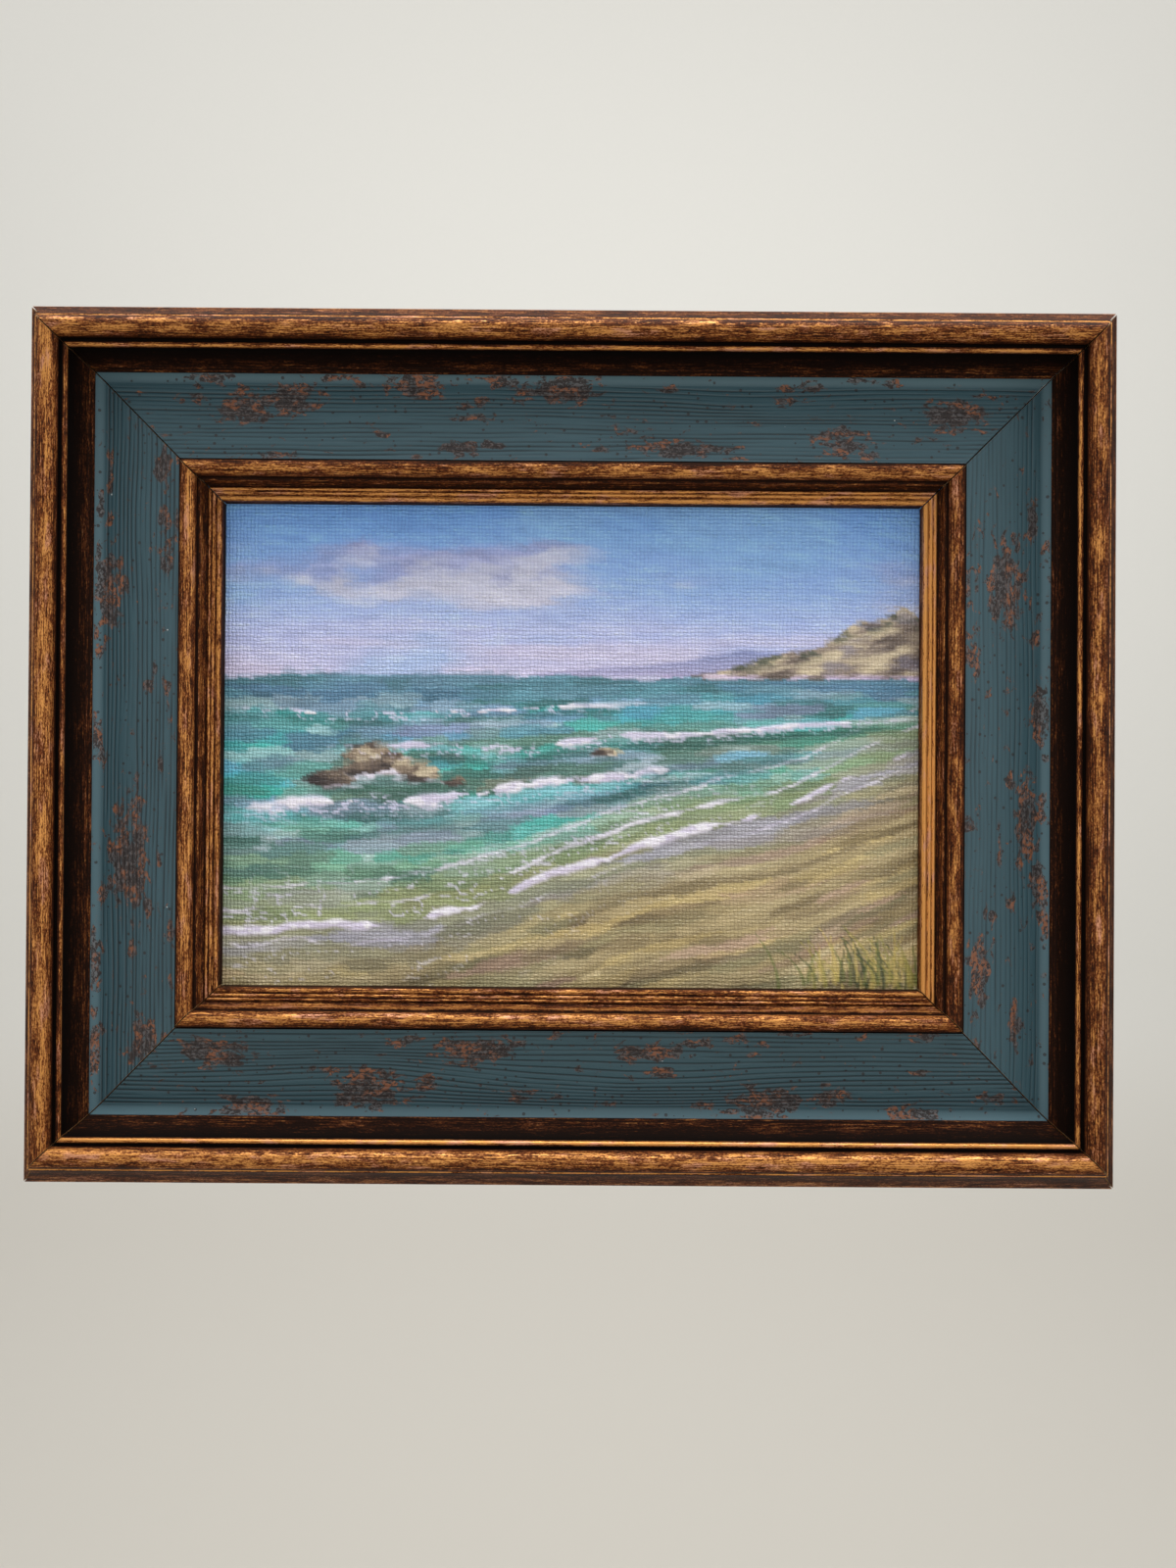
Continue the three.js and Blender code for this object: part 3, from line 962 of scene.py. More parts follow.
        return [
            *self.reeds(self.lip, self.lip_head, self.lip_reeds, 0.14, 0.73, 0.0),
            run(self.cove_foot, self.cove_head, -self.cove_sink, 0.3, bronze, (0.3, 0.42, 0.55), (0.3, 0.05)),
            run(self.ledge, self.inner_bead, 0.0, 0.4, bronze, (0.2, 0.1, 0.1), (0.5, 0.5)),
            run(self.inner_bead, self.inner_bead_head, self.inner_rise, 0.12, bronze, (0.44, 0.62, 0.06)),
            self.nick(self.inner_bead_head, self.panel),
            run(self.panel, self.panel_head, 0.0, self.panel_step, teal, plain),
            # The fillet's wear only lightens its teal, as a painted sheen.
            run(self.panel_head, self.fillet_head, -self.fillet_sink, 0.3, teal, (0.2, 1.0, 0.4)),
            *self.reeds(self.fillet_head, self.wall_foot, self.foot_reeds, 0.2, 0.42, 0.5),
            # The wall darkens to full darkness at its head: dark patina with painted shade.
            run(self.wall_foot, self.wall_head, -self.wall_sink, 0.6, bronze, (0.4, 0.2, 0.02), (0.62, 1.0)),
            run(self.wall_head, self.small_bead_head, self.small_rise, 0.12, bronze, (0.5, 0.72, 0.3)),
            self.nick(self.small_bead_head, self.outer_bead),
            run(self.outer_bead, self.outer_bead_head, self.outer_rise, 0.14, bronze, (0.42, 0.63, 0.04)),
            self.nick(self.outer_bead_head, self.arris),
            run(self.arris, self.slope_head, 0.0, 0.2, bronze, (0.8, 0.8, 0.7)),
            run(self.slope_head, self.slope_foot, -self.slope_sink, 0.5, bronze, slope_wear, (0.35, 0.2)),
            run(self.side_head, self.side_foot, 0.0, 1.2, bronze, (0.6, 0.2, 0.15), (0.0, 0.3)),
            run(self.back_edge, heel, 0.0, 3.0, timber, plain, even, (1.0, 0.0)),
            run(heel, seat, 0.0, 2.0, timber, plain),
            run(seat, foot, 0.0, 2.0, timber, plain),
            run(foot, self.lip, 0.0, 0.8, bronze, (0.1, 0.25, 0.5), (0.4, 0.1)),
        ]


@dataclass
class Outline:
    """The section as arrays, one entry for each point of the closed loop.

    `cut` holds the distance out and the height, and `marks` the rows of wear, depth and stray.
    """

    cut: np.ndarray
    coat: np.ndarray
    marks: np.ndarray
    crease: np.ndarray
    lean: np.ndarray
    arc: np.ndarray

    SHARP_TURN: ClassVar[float] = math.radians(28.0)
    SAME_PLACE: ClassVar[float] = 1e-6

    @classmethod
    def of(cls, stretches: list[Stretch]) -> "Outline":
        """Joins the stretches into a loop.

        An end that meets the next start is dropped. A point's lean is the face's outward normal in
        the section, half way between the normals of its two neighbours' chords, and a point is
        creased where those chords turn sharply.

        Args:
            stretches: The stretches, end to end.

        Returns:
            The loop.
        """
        points, coat, marks = [], [], []
        for piece, after in zip(stretches, stretches[1:] + stretches[:1]):
            meets = float(np.hypot(*(piece.points[-1] - after.points[0]))) < cls.SAME_PLACE
            keep = len(piece.points) - int(meets)
            points.append(piece.points[:keep])
            coat.append(np.full(keep, piece.coat.value))
            marks.append(piece.marks[:keep])
        loop = np.concatenate(points)
        ahead = np.roll(loop, -1, axis=0) - loop
        length = np.hypot(ahead[:, 0], ahead[:, 1])
        ahead = ahead / length[:, None]
        normal = np.stack([-ahead[:, 1], ahead[:, 0]], axis=1)
        before = np.roll(normal, 1, axis=0)
        lean = normal + before
        lean /= np.maximum(np.hypot(lean[:, 0], lean[:, 1]), cls.SAME_PLACE)[:, None]
        turn = np.arccos(np.clip(np.sum(normal * before, axis=1), -1.0, 1.0))
        arc = np.concatenate([[0.0], np.cumsum(length)])
        marks = np.concatenate(marks).T
        return cls(loop, np.concatenate(coat), marks, turn > cls.SHARP_TURN, lean, arc)


@dataclass(frozen=True)
class Patch:
    """A place where the paint has chipped: its middle and its half sizes, in millimetres.

    `along` is measured in the world, to the right on the top and bottom rails and up on the other
    two, and `out` from the sight edge.
    """

    along: float
    out: float
    half_length: float
    half_width: float
    force: float = 1.0


@dataclass
class BrushedGrain:
    """Grooves of wire-brushed grain in the teal flat.

    A groove runs where a slowly bent field passes a whole number. Its depth falls off with the
    distance from that line as a Gaussian, and each groove comes and goes along the rail. The wood
    stands a little lower half way between two grooves, and its fibres roughen it.
    """

    seed: int
    force: float
    pitch: float = 1.08
    depth: float = 0.24
    spread: float = 0.18
    waver: float = 1.15
    crown: float = 0.025
    fibre: float = 0.012
    eyes: tuple[Triple, ...] = ()

    def field(self, along: np.ndarray, out: np.ndarray) -> np.ndarray:
        """Counts grooves outwards, bent by slow noise and round the eyes of the grain.

        Args:
            along: The place along the rail.
            out: The distance out from the sight edge.

        Returns:
            The count, whole in the middle of a groove.
        """
        noise = Noise(self.seed)
        count = out / self.pitch + 2.0 * self.waver * (noise.layered(along / 62.0, out / 12.0, 3) - 0.5)
        for middle, level, lift in self.eyes:
            reach = ((along - middle) / 30.0) ** 2 + ((out - level) / 5.0) ** 2
            count = count + lift * np.exp(-reach)
        return count

    def carve(self, along: np.ndarray, out: np.ndarray) -> tuple[np.ndarray, np.ndarray]:
        """Works out the relief and how deep in a groove each point lies.

        Args:
            along: The place along the rail.
            out: The distance out from the sight edge.

        Returns:
            The relief in millimetres, never above 0, and the groove's share from 0 to 1.
        """
        noise = Noise(self.seed + 1)
        small, flattest = 0.02, 0.25
        count = self.field(along, out)
        slope = np.abs(self.field(along, out + small) - count) / small
        line = np.round(count)
        distance = np.abs(count - line) / np.maximum(slope, flattest)
        present = noise.at(line * 5.37 + 3.0, along / 26.0) + 0.35 * noise.at(line * 2.11, along / 7.0)
        share = np.clip(self.force * (1.7 * present - 0.32), 0.0, 1.0)
        groove = share * np.exp(-((distance / self.spread) ** 2))
        rough = self.fibre * noise.at(along / 5.0, out / 0.3)
        low = self.crown * share * (1.0 - (np.abs(count - line) - 0.5) ** 2)
        return -self.depth * groove - rough - low, groove


class Side(Enum):
    """A rail's place: quarter turns from the top rail about +Y, and the world's sense along it."""

    TOP = (0, 1.0)
    RIGHT = (1, -1.0)
    BOTTOM = (2, -1.0)
    LEFT = (3, 1.0)

    @property
    def turn(self) -> float:
        """The turn in radians."""
        return self.value[0] * math.pi / 2.0

    @property
    def sense(self) -> float:
        """1 where the rail runs the world's way along, and -1 where it runs against it."""
        return self.value[1]


@dataclass(frozen=True)
class RubbingAndPaintedLight:
    """How much a rail's lip, cove, beads and small bead differ from an even frame: rubbed gilt, and painted
    light and shade for the way that side faces the light.
    """

    lip: float
    cove: float
    beads: float
    small_bead: float

    def lift(self, out: np.ndarray, moulding: Moulding) -> np.ndarray:
        """Looks up the zone that each point lies in.

        Args:
            out: The distance out from the sight edge.
            moulding: The section that the zones belong to.

        Returns:
            The added wear, with painted light and shade in it.
        """
        small = (out >= moulding.wall_head[0]) & (out <= moulding.small_bead_head[0])
        zones = [out < moulding.cove_foot[0], out < moulding.ledge[0], small]
        return np.select(zones, [self.lip, self.cove, self.small_bead], self.beads)


@dataclass
class Rail:
    """One mitred length of the moulding.

    `half_length` and `sight` are half the sight's size along the rail and across it, `back` is the
    place of the frame's back, and `centre` the height of its middle.
    """

    side: Side
    half_length: float
    sight: float
    back: float
    centre: float
    grain: BrushedGrain
    patches: tuple[Patch, ...]
    columns: int
    rubbing_and_light: RubbingAndPaintedLight
    moulding: Moulding = field(default_factory=Moulding)
    mitre_gap: float = 0.3
    plain_edge: float = 0.6
    map_shift: float = 400.0
    crumbs: int = 34

    BELTS: ClassVar[tuple[Pair, ...]] = ((9.5, 13.0), (10.0, 30.0), (26.0, 30.0))

    @property
    def name(self) -> str:
        """The node that the rail stands for."""
        return f"rail_{self.side.name.lower()}"

    def chipping(self, along: np.ndarray, out: np.ndarray) -> np.ndarray:
        """Works out how readily the paint has chipped: a soft oval at each patch and seeded crumb.

        Args:
            along: The place along the rail.
            out: The distance out from the sight edge.

        Returns:
            0 where the paint is whole, up to 1 in the middle of a patch.
        """
        draw = np.random.default_rng(self.grain.seed + 50)
        crumbs = [
            Patch(
                float(draw.uniform(-1.0, 1.0)) * self.half_length * 1.25,
                float(draw.choice([draw.uniform(*belt) for belt in self.BELTS])),
                float(draw.uniform(1.2, 4.0)),
                float(draw.uniform(0.5, 1.3)),
                float(draw.uniform(0.55, 0.95)),
            )
            for _ in range(self.crumbs)
        ]
        worn = np.zeros(np.broadcast(along, out).shape)
        for patch in (*self.patches, *crumbs):
            reach = ((along * self.side.sense - patch.along) / patch.half_length) ** 2
            reach = reach + ((out - patch.out) / patch.half_width) ** 2
            worn = np.maximum(worn, patch.force * np.exp(-0.55 * reach**1.5))
        return worn

    def skin(self, outline: Outline) -> Skin:
        """Carries the section along the rail between its two 45 degree cuts.

        A point at a distance u out from the sight edge runs from -r to r along the rail, where r is
        the half length plus u, less the mitre's gap. The relief moves a point along its lean.

        Args:
            outline: The section.

        Returns:
            The closed skin.
        """
        count, cut = len(outline.cut), outline.cut
        share = np.linspace(-1.0, 1.0, self.columns)[None, :]
        gap = self.mitre_gap / math.sqrt(2.0)
        out, height = cut[:, :1], cut[:, 1:]
        along = share * (self.half_length + out - gap)
        teal = (outline.coat == Coat.TEAL.value)[:, None]
        inner, outer, fade = self.moulding.panel[0], self.moulding.panel_head[0], self.plain_edge
        flat = teal * smooth(out, inner, inner + fade) * smooth(out, outer, outer - fade)
        relief, groove = self.grain.carve(along, out)
        relief, groove = relief * flat, groove * flat
        out = out + outline.lean[:, :1] * relief
        height = height + outline.lean[:, 1:] * relief
        run = share * (self.half_length + out - gap)
        cos, sin = math.cos(self.side.turn), math.sin(self.side.turn)
        points = np.stack(
            [
                run * cos + (self.sight + out) * sin,
                np.broadcast_to(self.back - height, run.shape),
                (self.sight + out) * cos - run * sin + self.centre,
            ],
            axis=-1,
        )
        row, column = grid(count, self.columns - 1)
        ring = np.arange(count) * self.columns
        wear, deep, stray = outline.marks
        # Painted light and shade: each side's lift brightens or darkens its gilt.
        wear = np.clip(wear + self.rubbing_and_light.lift(cut[:, 0], self.moulding), 0.0, 1.0)
        return Skin(
            points.reshape(-1, 3) * MM,
            (row % count) * self.columns + column,
            [ring[::-1], ring + self.columns - 1],
            np.concatenate([outline.coat[row[:, 0]], [Coat.TIMBER.value] * 2]),
            self.unrolled(outline, along, row, column),
            {
                "wear": np.repeat(wear, self.columns),
                "deep": np.repeat(deep, self.columns),
                "stray": np.repeat(stray, self.columns),
                "groove": groove,
                "chipping": self.chipping(along, cut[:, :1]) * teal,
            },
        )

    def unrolled(
        self, outline: Outline, along: np.ndarray, row: np.ndarray, column: np.ndarray
    ) -> dict[str, tuple[np.ndarray, list[np.ndarray]]]:
        """Lays the skin out flat, once in millimetres and once in the square that bakes fill.

        Args:
            outline: The section.
            along: The place of each point along the rail.
            row: The row of each corner.
            column: The column of each corner.

        Returns:
            The two maps, each with its quads and its two caps.
        """
        arc, cut = outline.arc, outline.cut
        stretch = np.concatenate([along, along[:1]])
        lay = np.stack([stretch[row, column] + self.map_shift * self.side.value[0], arc[row]], axis=-1)
        tall, cap_low, cap_size, cap_left = 0.93, 0.94, 0.05, 0.44
        bake = np.stack([column / (self.columns - 1), tall * arc[row] / arc[-1]], axis=-1)
        first = cap_size * cut / self.moulding.width + [0.0, cap_low]
        last = first + [cap_left, 0.0]
        return {LAY_MAP: (lay, [cut[::-1], cut]), BAKE_MAP: (bake, [first[::-1], last])}

    def build(self, finishes: list[bpy.types.Material]) -> bpy.types.Object:
        """Makes the rail, which stands for its plain solid.

        Args:
            finishes: Bronze, teal and timber.

        Returns:
            The rail's object.
        """
        outline = Outline.of(self.moulding.stretches())

        def sharp(edges: np.ndarray) -> np.ndarray:
            """Finds the edges along a creased row or round one of the two cuts.

            Args:
                edges: The two points of each edge.

            Returns:
                Whether each one is sharp.
            """
            row, column = edges // self.columns, edges % self.columns
            level = (row[:, 0] == row[:, 1]) & outline.crease[row[:, 0]]
            end = (column[:, 0] == column[:, 1]) & np.isin(column[:, 0], (0, self.columns - 1))
            return level | end

        piece = self.skin(outline).cast(f"{self.name}_moulding", finishes, sharp)
        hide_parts(self.name)
        return piece


# The painting -----------------------------------------------------------------------------------


@dataclass(frozen=True)
class Roller:
    """A low wave: its level in the flow, its body, where it reaches and how much foam it carries."""

    level: float
    sway: float
    body: float
    left: float
    right: float
    foam: float


@dataclass(frozen=True)
class Rock:
    """A rock in the shallows: its middle and its half sizes."""

    x: float
    z: float
    half_width: float
    half_height: float


@dataclass(frozen=True)
class Glaze:
    """Soft patches of one colour: their size, the noise where they fade in, and their cover.

    `span` holds four levels of the flow: where the patches start, are whole, are still whole and
    end.
    """

    tone: Triple
    size: Pair
    fade: Pair
    cover: float
    span: tuple[float, float, float, float]
    load: float = 0.0


@dataclass(frozen=True)
class Brush:
    """A brush: its strokes' length and width, their cover in the sky and below, and their spread of shade."""

    length: float
    width: float
    sky: float
    sea: float
    shade: float
    seed: int


Ramp = tuple[tuple[float, Triple], ...]


@dataclass(frozen=True)
class Palette:
    """The seascape's tones as display values, and ramps of them along a scale."""

    clear_sky: Ramp = (
        (0.0, (208, 200, 228)),
        (9.0, (186, 194, 238)),
        (20.0, (160, 186, 240)),
        (40.0, (124, 166, 232)),
    )
    sky_wash: Triple = (146, 184, 230)
    cloud: Ramp = ((0.0, (164, 162, 200)), (0.5, (196, 192, 218)), (1.0, (224, 216, 228)))
    veil: Triple = (212, 200, 222)
    far_ridge: Ramp = ((0.0, (164, 160, 192)), (7.0, (124, 134, 172)))
    headland: Ramp = (
        (0.3, (98, 88, 82)),
        (0.42, (136, 124, 114)),
        (0.55, (168, 154, 136)),
        (0.7, (202, 186, 160)),
    )
    mauve: Triple = (126, 122, 138)
    scrub: Triple = (72, 76, 66)
    hill_foot: Triple = (206, 188, 226)
    water: Ramp = (
        (0.0, (104, 134, 152)),
        (5.0, (84, 130, 138)),
        (12.0, (96, 150, 150)),
        (22.0, (116, 160, 150)),
        (34.0, (134, 156, 132)),
        (60.0, (148, 150, 112)),
    )
    shoulder: Triple = (66, 190, 176)
    trough: Triple = (44, 82, 78)
    streak: Triple = (188, 184, 212)
    curl: Triple = (210, 204, 228)
    foam: Triple = (216, 206, 230)
    foam_light: Triple = (240, 234, 244)
    shallows: Triple = (146, 148, 108)
    sand: Ramp = (
        (0.25, (108, 96, 74)),
        (0.45, (146, 132, 102)),
        (0.6, (166, 150, 118)),
        (0.8, (192, 176, 142)),
    )
    wet_film: Triple = (132, 142, 130)
    wet_sheen: Triple = (168, 164, 190)
    lace: Triple = (212, 202, 226)
    lace_net: Triple = (214, 208, 228)
    lace_spent: Triple = (216, 210, 226)
    stone: Ramp = ((-0.6, (46, 40, 40)), (0.0, (84, 74, 68)), (0.45, (138, 124, 108)), (0.9, (196, 182, 158)))
    mirror: Triple = (56, 82, 76)
    wash: Triple = (228, 220, 236)
    grasses: tuple[Triple, ...] = (
        (92, 98, 60),
        (128, 122, 74),
        (178, 158, 102),
        (62, 68, 46),
        (150, 138, 84),
    )


@dataclass
class Seascape:
    """A calm bay in oils: cloud, far hills, turquoise water, rocks and a sweep of wet sand.

    Colours are mixed as display values and turned to light at the end. Every layer is a mask over
    the whole canvas, so later layers lie over earlier ones as strokes of paint do. The flow counts
    down from the horizon along lines that fan out to the shore, and is negative in the sky.
    """

    x: np.ndarray
    z: np.ndarray
    horizon: float = 17.0
    seed: int = 77
    rollers: tuple[Roller, ...] = (
        Roller(6.5, 0.5, 2.2, -90.0, 24.0, 0.45),
        Roller(13.0, 0.8, 3.6, -64.0, 90.0, 0.7),
        Roller(21.5, 1.2, 5.6, -90.0, 40.0, 1.0),
    )
    rocks: tuple[Rock, ...] = (
        Rock(-47.0, -5.0, 9.5, 5.4),
        Rock(-36.0, -7.2, 5.6, 3.2),
        Rock(-57.5, -8.6, 5.2, 2.7),
        Rock(-27.5, -8.9, 2.6, 1.5),
        Rock(8.0, -1.6, 3.4, 1.7),
    )
    water_glazes: tuple[Glaze, ...] = (
        Glaze((50, 82, 82), (10.0, 1.3), (0.50, 0.64), 0.62, (0.0, 1.5, 36.0, 50.0)),
        Glaze((92, 114, 150), (26.0, 3.6), (0.50, 0.66), 0.50, (0.5, 3.0, 26.0, 36.0)),
        Glaze((84, 204, 190), (26.0, 4.6), (0.53, 0.68), 0.62, (6.0, 11.0, 28.0, 37.0)),
        Glaze((112, 172, 214), (22.0, 2.8), (0.54, 0.68), 0.55, (3.0, 7.0, 24.0, 32.0)),
        Glaze((168, 160, 196), (28.0, 3.0), (0.52, 0.68), 0.50, (2.0, 7.0, 38.0, 52.0)),
        Glaze((112, 110, 82), (34.0, 4.4), (0.50, 0.66), 0.55, (8.0, 16.0, 45.0, 60.0)),
        Glaze((60, 96, 88), (18.0, 1.6), (0.54, 0.66), 0.60, (10.0, 16.0, 36.0, 48.0)),
        Glaze((196, 208, 212), (13.0, 0.9), (0.58, 0.70), 0.55, (2.0, 5.0, 42.0, 52.0), 0.15),
    )
    sand_glazes: tuple[Glaze, ...] = (
        Glaze((126, 124, 98), (34.0, 4.0), (0.50, 0.64), 0.50, (0.0, 1.0, 160.0, 180.0)),
        Glaze((94, 82, 64), (30.0, 2.2), (0.54, 0.70), 0.48, (0.0, 1.0, 160.0, 180.0)),
        Glaze((196, 174, 126), (22.0, 1.7), (0.55, 0.70), 0.65, (0.0, 1.0, 160.0, 180.0), 0.15),
        Glaze((182, 148, 140), (26.0, 2.6), (0.57, 0.70), 0.45, (0.0, 1.0, 160.0, 180.0)),
    )
    broad: Brush = Brush(7.5, 1.5, 0.35, 0.85, 0.12, 5)
    fine_brush: Brush = Brush(2.7, 0.8, 0.4, 0.6, 0.14, 9)
    purity: float = 1.24
    contrast: float = 1.07
    finest: float = 0.42
    blades: int = 64
    palette: Palette = Palette()
    noise: Noise = field(init=False)
    fine: Noise = field(init=False)
    colour: np.ndarray = field(init=False)
    body: np.ndarray = field(init=False)
    fan: np.ndarray = field(init=False)
    flow: np.ndarray = field(init=False)

    def __post_init__(self) -> None:
        """Starts from the bare ground, and works out the fan and the flow."""
        self.noise = Noise(self.seed)
        self.fine = Noise(self.seed + 1)
        self.colour = np.full((*self.x.shape, 3), 200.0)
        self.body = np.zeros(self.x.shape)
        self.fan = 0.5 + 0.0145 * (self.horizon - self.shoreline())
        self.flow = (self.horizon - self.z) / self.fan

    def brush(self, tone: Triple | np.ndarray, mask: np.ndarray, load: float = 0.0) -> None:
        """Lays paint over what is there.

        Args:
            tone: The colour, or a colour for each point.
            mask: How well it covers.
            load: How thick it stands, as a share of the thickest paint.
        """
        cover = np.clip(mask, 0.0, 1.0)
        self.colour = self.colour * (1.0 - cover[..., None]) + np.asarray(tone, float) * cover[..., None]
        self.body = self.body * (1.0 - 0.7 * cover) + load * cover

    def glaze(self, glazes: tuple[Glaze, ...], where: np.ndarray) -> None:
        """Lays glazes one over another where a mask allows, each by its own part of the noise.

        Args:
            glazes: The glazes, in their order.
            where: Where they may lie, from 0 to 1.
        """
        for number, glaze in enumerate(glazes):
            shift = 3.7 * number + glaze.cover
            patch = self.noise.layered(
                self.x / glaze.size[0] + shift, self.flow / glaze.size[1] + 1.9 * shift, 4
            )
            start, whole, last, end = glaze.span
            reach = smooth(self.flow, start, whole) * smooth(self.flow, end, last)
            self.brush(glaze.tone, glaze.cover * where * reach * smooth(patch, *glaze.fade), glaze.load)

    def stroke(self, brush: Brush) -> None:
        """Breaks what is painted so far into overlapping strokes that follow the flow.

        A stroke is an oval round a point of a jittered grid, frayed by fine noise. It takes the
        colour at its own middle, a little lighter or darker, and stands highest along its middle.
        Where strokes overlap, the one with the highest rank shows.

        Args:
            brush: The brush.
        """
        across, down = self.x / brush.length, self.flow / brush.width
        lots = np.random.default_rng(brush.seed).random((4, 256, 256))
        fray = self.fine.layered(self.x / 2.4, self.flow / 0.5 + brush.seed, 2) - 0.5
        colour, body, top = self.colour.copy(), self.body.copy(), np.zeros(self.x.shape)
        columns, rows = np.arange(self.x.shape[1]), np.arange(self.x.shape[0])
        for step in range(9):
            i = np.floor(across).astype(int) + step % 3 - 1
            j = np.floor(down).astype(int) + step // 3 - 1
            shift, drop, rank, shade = lots[:, i % 256, j % 256]
            middle, level = i + 0.15 + 0.7 * shift, j + 0.15 + 0.7 * drop
            reach = ((across - middle) / 0.95) ** 2 + ((down - level) / 0.8) ** 2 + fray
            shows = (reach < 1.0) & (rank > top)
            place = middle * brush.length
            fan = np.interp(place, self.x[0], self.fan[0])
            column = np.interp(place, self.x[0], columns).round().astype(int)
            height = self.horizon - level * brush.width * fan
            row = np.interp(height, self.z[:, 0], rows).round().astype(int)
            taken = self.colour[row, column] * (1.0 + brush.shade * (shade - 0.5))[..., None]
            colour = np.where(shows[..., None], taken, colour)
            body = np.where(shows, self.body[row, column] + 0.22 * (1.0 - reach), body)
            top = np.where(shows, rank, top)
        cover = brush.sea + (brush.sky - brush.sea) * smooth(self.flow, 0.3, -0.3)
        self.colour = self.colour + (colour - self.colour) * cover[..., None]
        self.body = self.body + (body - self.body) * cover

    def wisps(self, near: np.ndarray, size: Pair, shift: float, thin: float) -> np.ndarray:
        """Fine curling lines of foam, which run where a noise passes its middle value.

        Args:
            near: Where they may lie, from 0 to 1.
            size: The noise's cell, along and down.
            shift: Makes it another pattern.
            thin: How far from its middle value the noise still gives foam.

        Returns:
            A mask.
        """
        curl = self.fine.layered(self.x / size[0] + shift, self.flow / size[1] + shift, 4)
        return near * smooth(np.abs(curl - 0.5), thin, 0.2 * thin)

    @staticmethod
    def graded(level: np.ndarray, ramp: Ramp) -> np.ndarray:
        """Colours along a scale, straight between its stops."""
        places = [stop for stop, _ in ramp]
        return np.stack([np.interp(level, places, [tone[k] for _, tone in ramp]) for k in range(3)], axis=-1)

    def sky(self) -> None:
        """Blue above and lavender at the horizon, with soft heaps of cloud lit from the left."""
        x, z, noise, tones = self.x, self.z, self.noise, self.palette
        rise = z - self.horizon
        lift = rise + 7.0 * (noise.layered(x / 50.0, z / 16.0) - 0.5)
        self.brush(self.graded(lift, tones.clear_sky), np.ones_like(x))
        self.brush(tones.sky_wash, 0.5 * smooth(noise.layered(x / 40.0 + 5.0, z / 18.0 + 2.0), 0.45, 0.65))
        warp = 7.0 * (noise.layered(x / 22.0 + 30.0, z / 12.0) - 0.5)
        heap = noise.layered((x + warp) / 32.0 + 3.4, (z + 0.6 * warp) / 13.0 + 7.7, 5)
        heap = heap - 0.010 * np.abs(rise - 17.0) + 0.10 * np.exp(-(((x + 22.0) / 34.0) ** 2))
        toward = noise.layered((x + warp + 3.0) / 32.0 + 3.4, (z + 0.6 * warp - 2.0) / 13.0 + 7.7, 5)
        mask = smooth(heap, 0.45, 0.66) * smooth(rise, 7.0, 14.0)
        light = smooth(heap - toward, -0.05, 0.06)
        self.brush(self.graded(light, tones.cloud), 0.75 * mask, 0.12)
        veil = smooth(noise.layered(x / 70.0 + 11.0, z / 3.2 + 4.0), 0.5, 0.7)
        self.brush(tones.veil, 0.5 * veil * np.exp(-(((rise - 5.0) / 6.0) ** 2)))

    def hills(self) -> None:
        """A far ridge and a nearer headland of pale rock at the right."""
        x, z, noise, fine, tones = self.x, self.z, self.noise, self.fine, self.palette
        rise = z - self.horizon
        far = 6.4 * smooth(x, -22.0, 56.0) * (0.62 + 0.7 * noise.layered(x / 20.0 + 2.0, 3.0))
        haze = self.graded(rise, tones.far_ridge)
        above = smooth(rise, -0.3, 0.1)
        self.brush(haze, 0.9 * above * smooth(rise, far + 0.4, far - 0.4) * (far > 0.4), 0.08)
        near = 15.0 * smooth(x, 22.0, 82.0) * (0.5 + 0.8 * noise.layered(x / 15.0 + 8.0, 9.0))
        near = near + (fine.layered(x / 3.0, 0.0, 3) - 0.5) * (near > 0.6)
        strata = fine.layered((x + 0.8 * z) / 8.0, (z - 0.32 * x) / 2.0, 4)
        face = self.graded(strata + 0.012 * (rise - 0.5 * near), tones.headland)
        self.brush(face, smooth(rise, near + 0.2, near - 0.2) * (near > 0.4) * (rise > -0.4), 0.3)
        mauve = smooth(noise.layered(x / 9.0 + 3.0, z / 4.0 + 2.0), 0.48, 0.62)
        mauve = mauve * smooth(rise, near, near - 1.5)
        self.brush(tones.mauve, 0.55 * mauve * (near > 1.0) * (rise > 0.0))
        scrub = smooth(fine.layered(x / 4.0, z / 2.0 + 6.0), 0.44, 0.58)
        scrub = scrub * smooth(rise, near - 4.0, near - 1.2)
        self.brush(tones.scrub, 0.85 * scrub * smooth(rise, near + 0.2, near - 0.2) * (near > 2.0), 0.25)
        foot = smooth(np.abs(rise + 0.1 - 0.5 * (strata - 0.5)), 0.6, 0.1) * smooth(x, -4.0, 30.0)
        self.brush(tones.hill_foot, 0.85 * foot * smooth(strata, 0.36, 0.5), 0.5)

    def water(self) -> None:
        """Slate blue at the horizon, green-blue in the middle and olive over the sand."""
        sea = smooth(self.flow, -0.2, 0.2)
        level = self.flow + 6.0 * (self.noise.layered(self.x / 40.0 + 2.0, self.flow / 7.0, 4) - 0.5)
        self.brush(self.graded(level, self.palette.water), sea)
        self.glaze(self.water_glazes, sea)

    def below(self, wave: Roller) -> tuple[np.ndarray, np.ndarray, np.ndarray]:
        """Measures the canvas from the top of a wave.

        Args:
            wave: The wave.

        Returns:
            How far each point lies below its top, how much of the wave is there, and where foam trails.
        """
        x, key = self.x, wave.level
        bend = self.noise.layered(x / 34.0 + key, key, 4) - 0.5
        drop = self.flow - key + wave.sway * (4.0 * bend + 0.3 * np.sin(x / 7.0 + key))
        ends = smooth(x, wave.left, wave.left + 26.0) * smooth(x, wave.right, wave.right - 30.0)
        trail = ends * smooth(drop, -1.6 * wave.foam, 0.0) * smooth(drop, 5.0 * wave.foam, 0.5)
        return drop, ends, trail

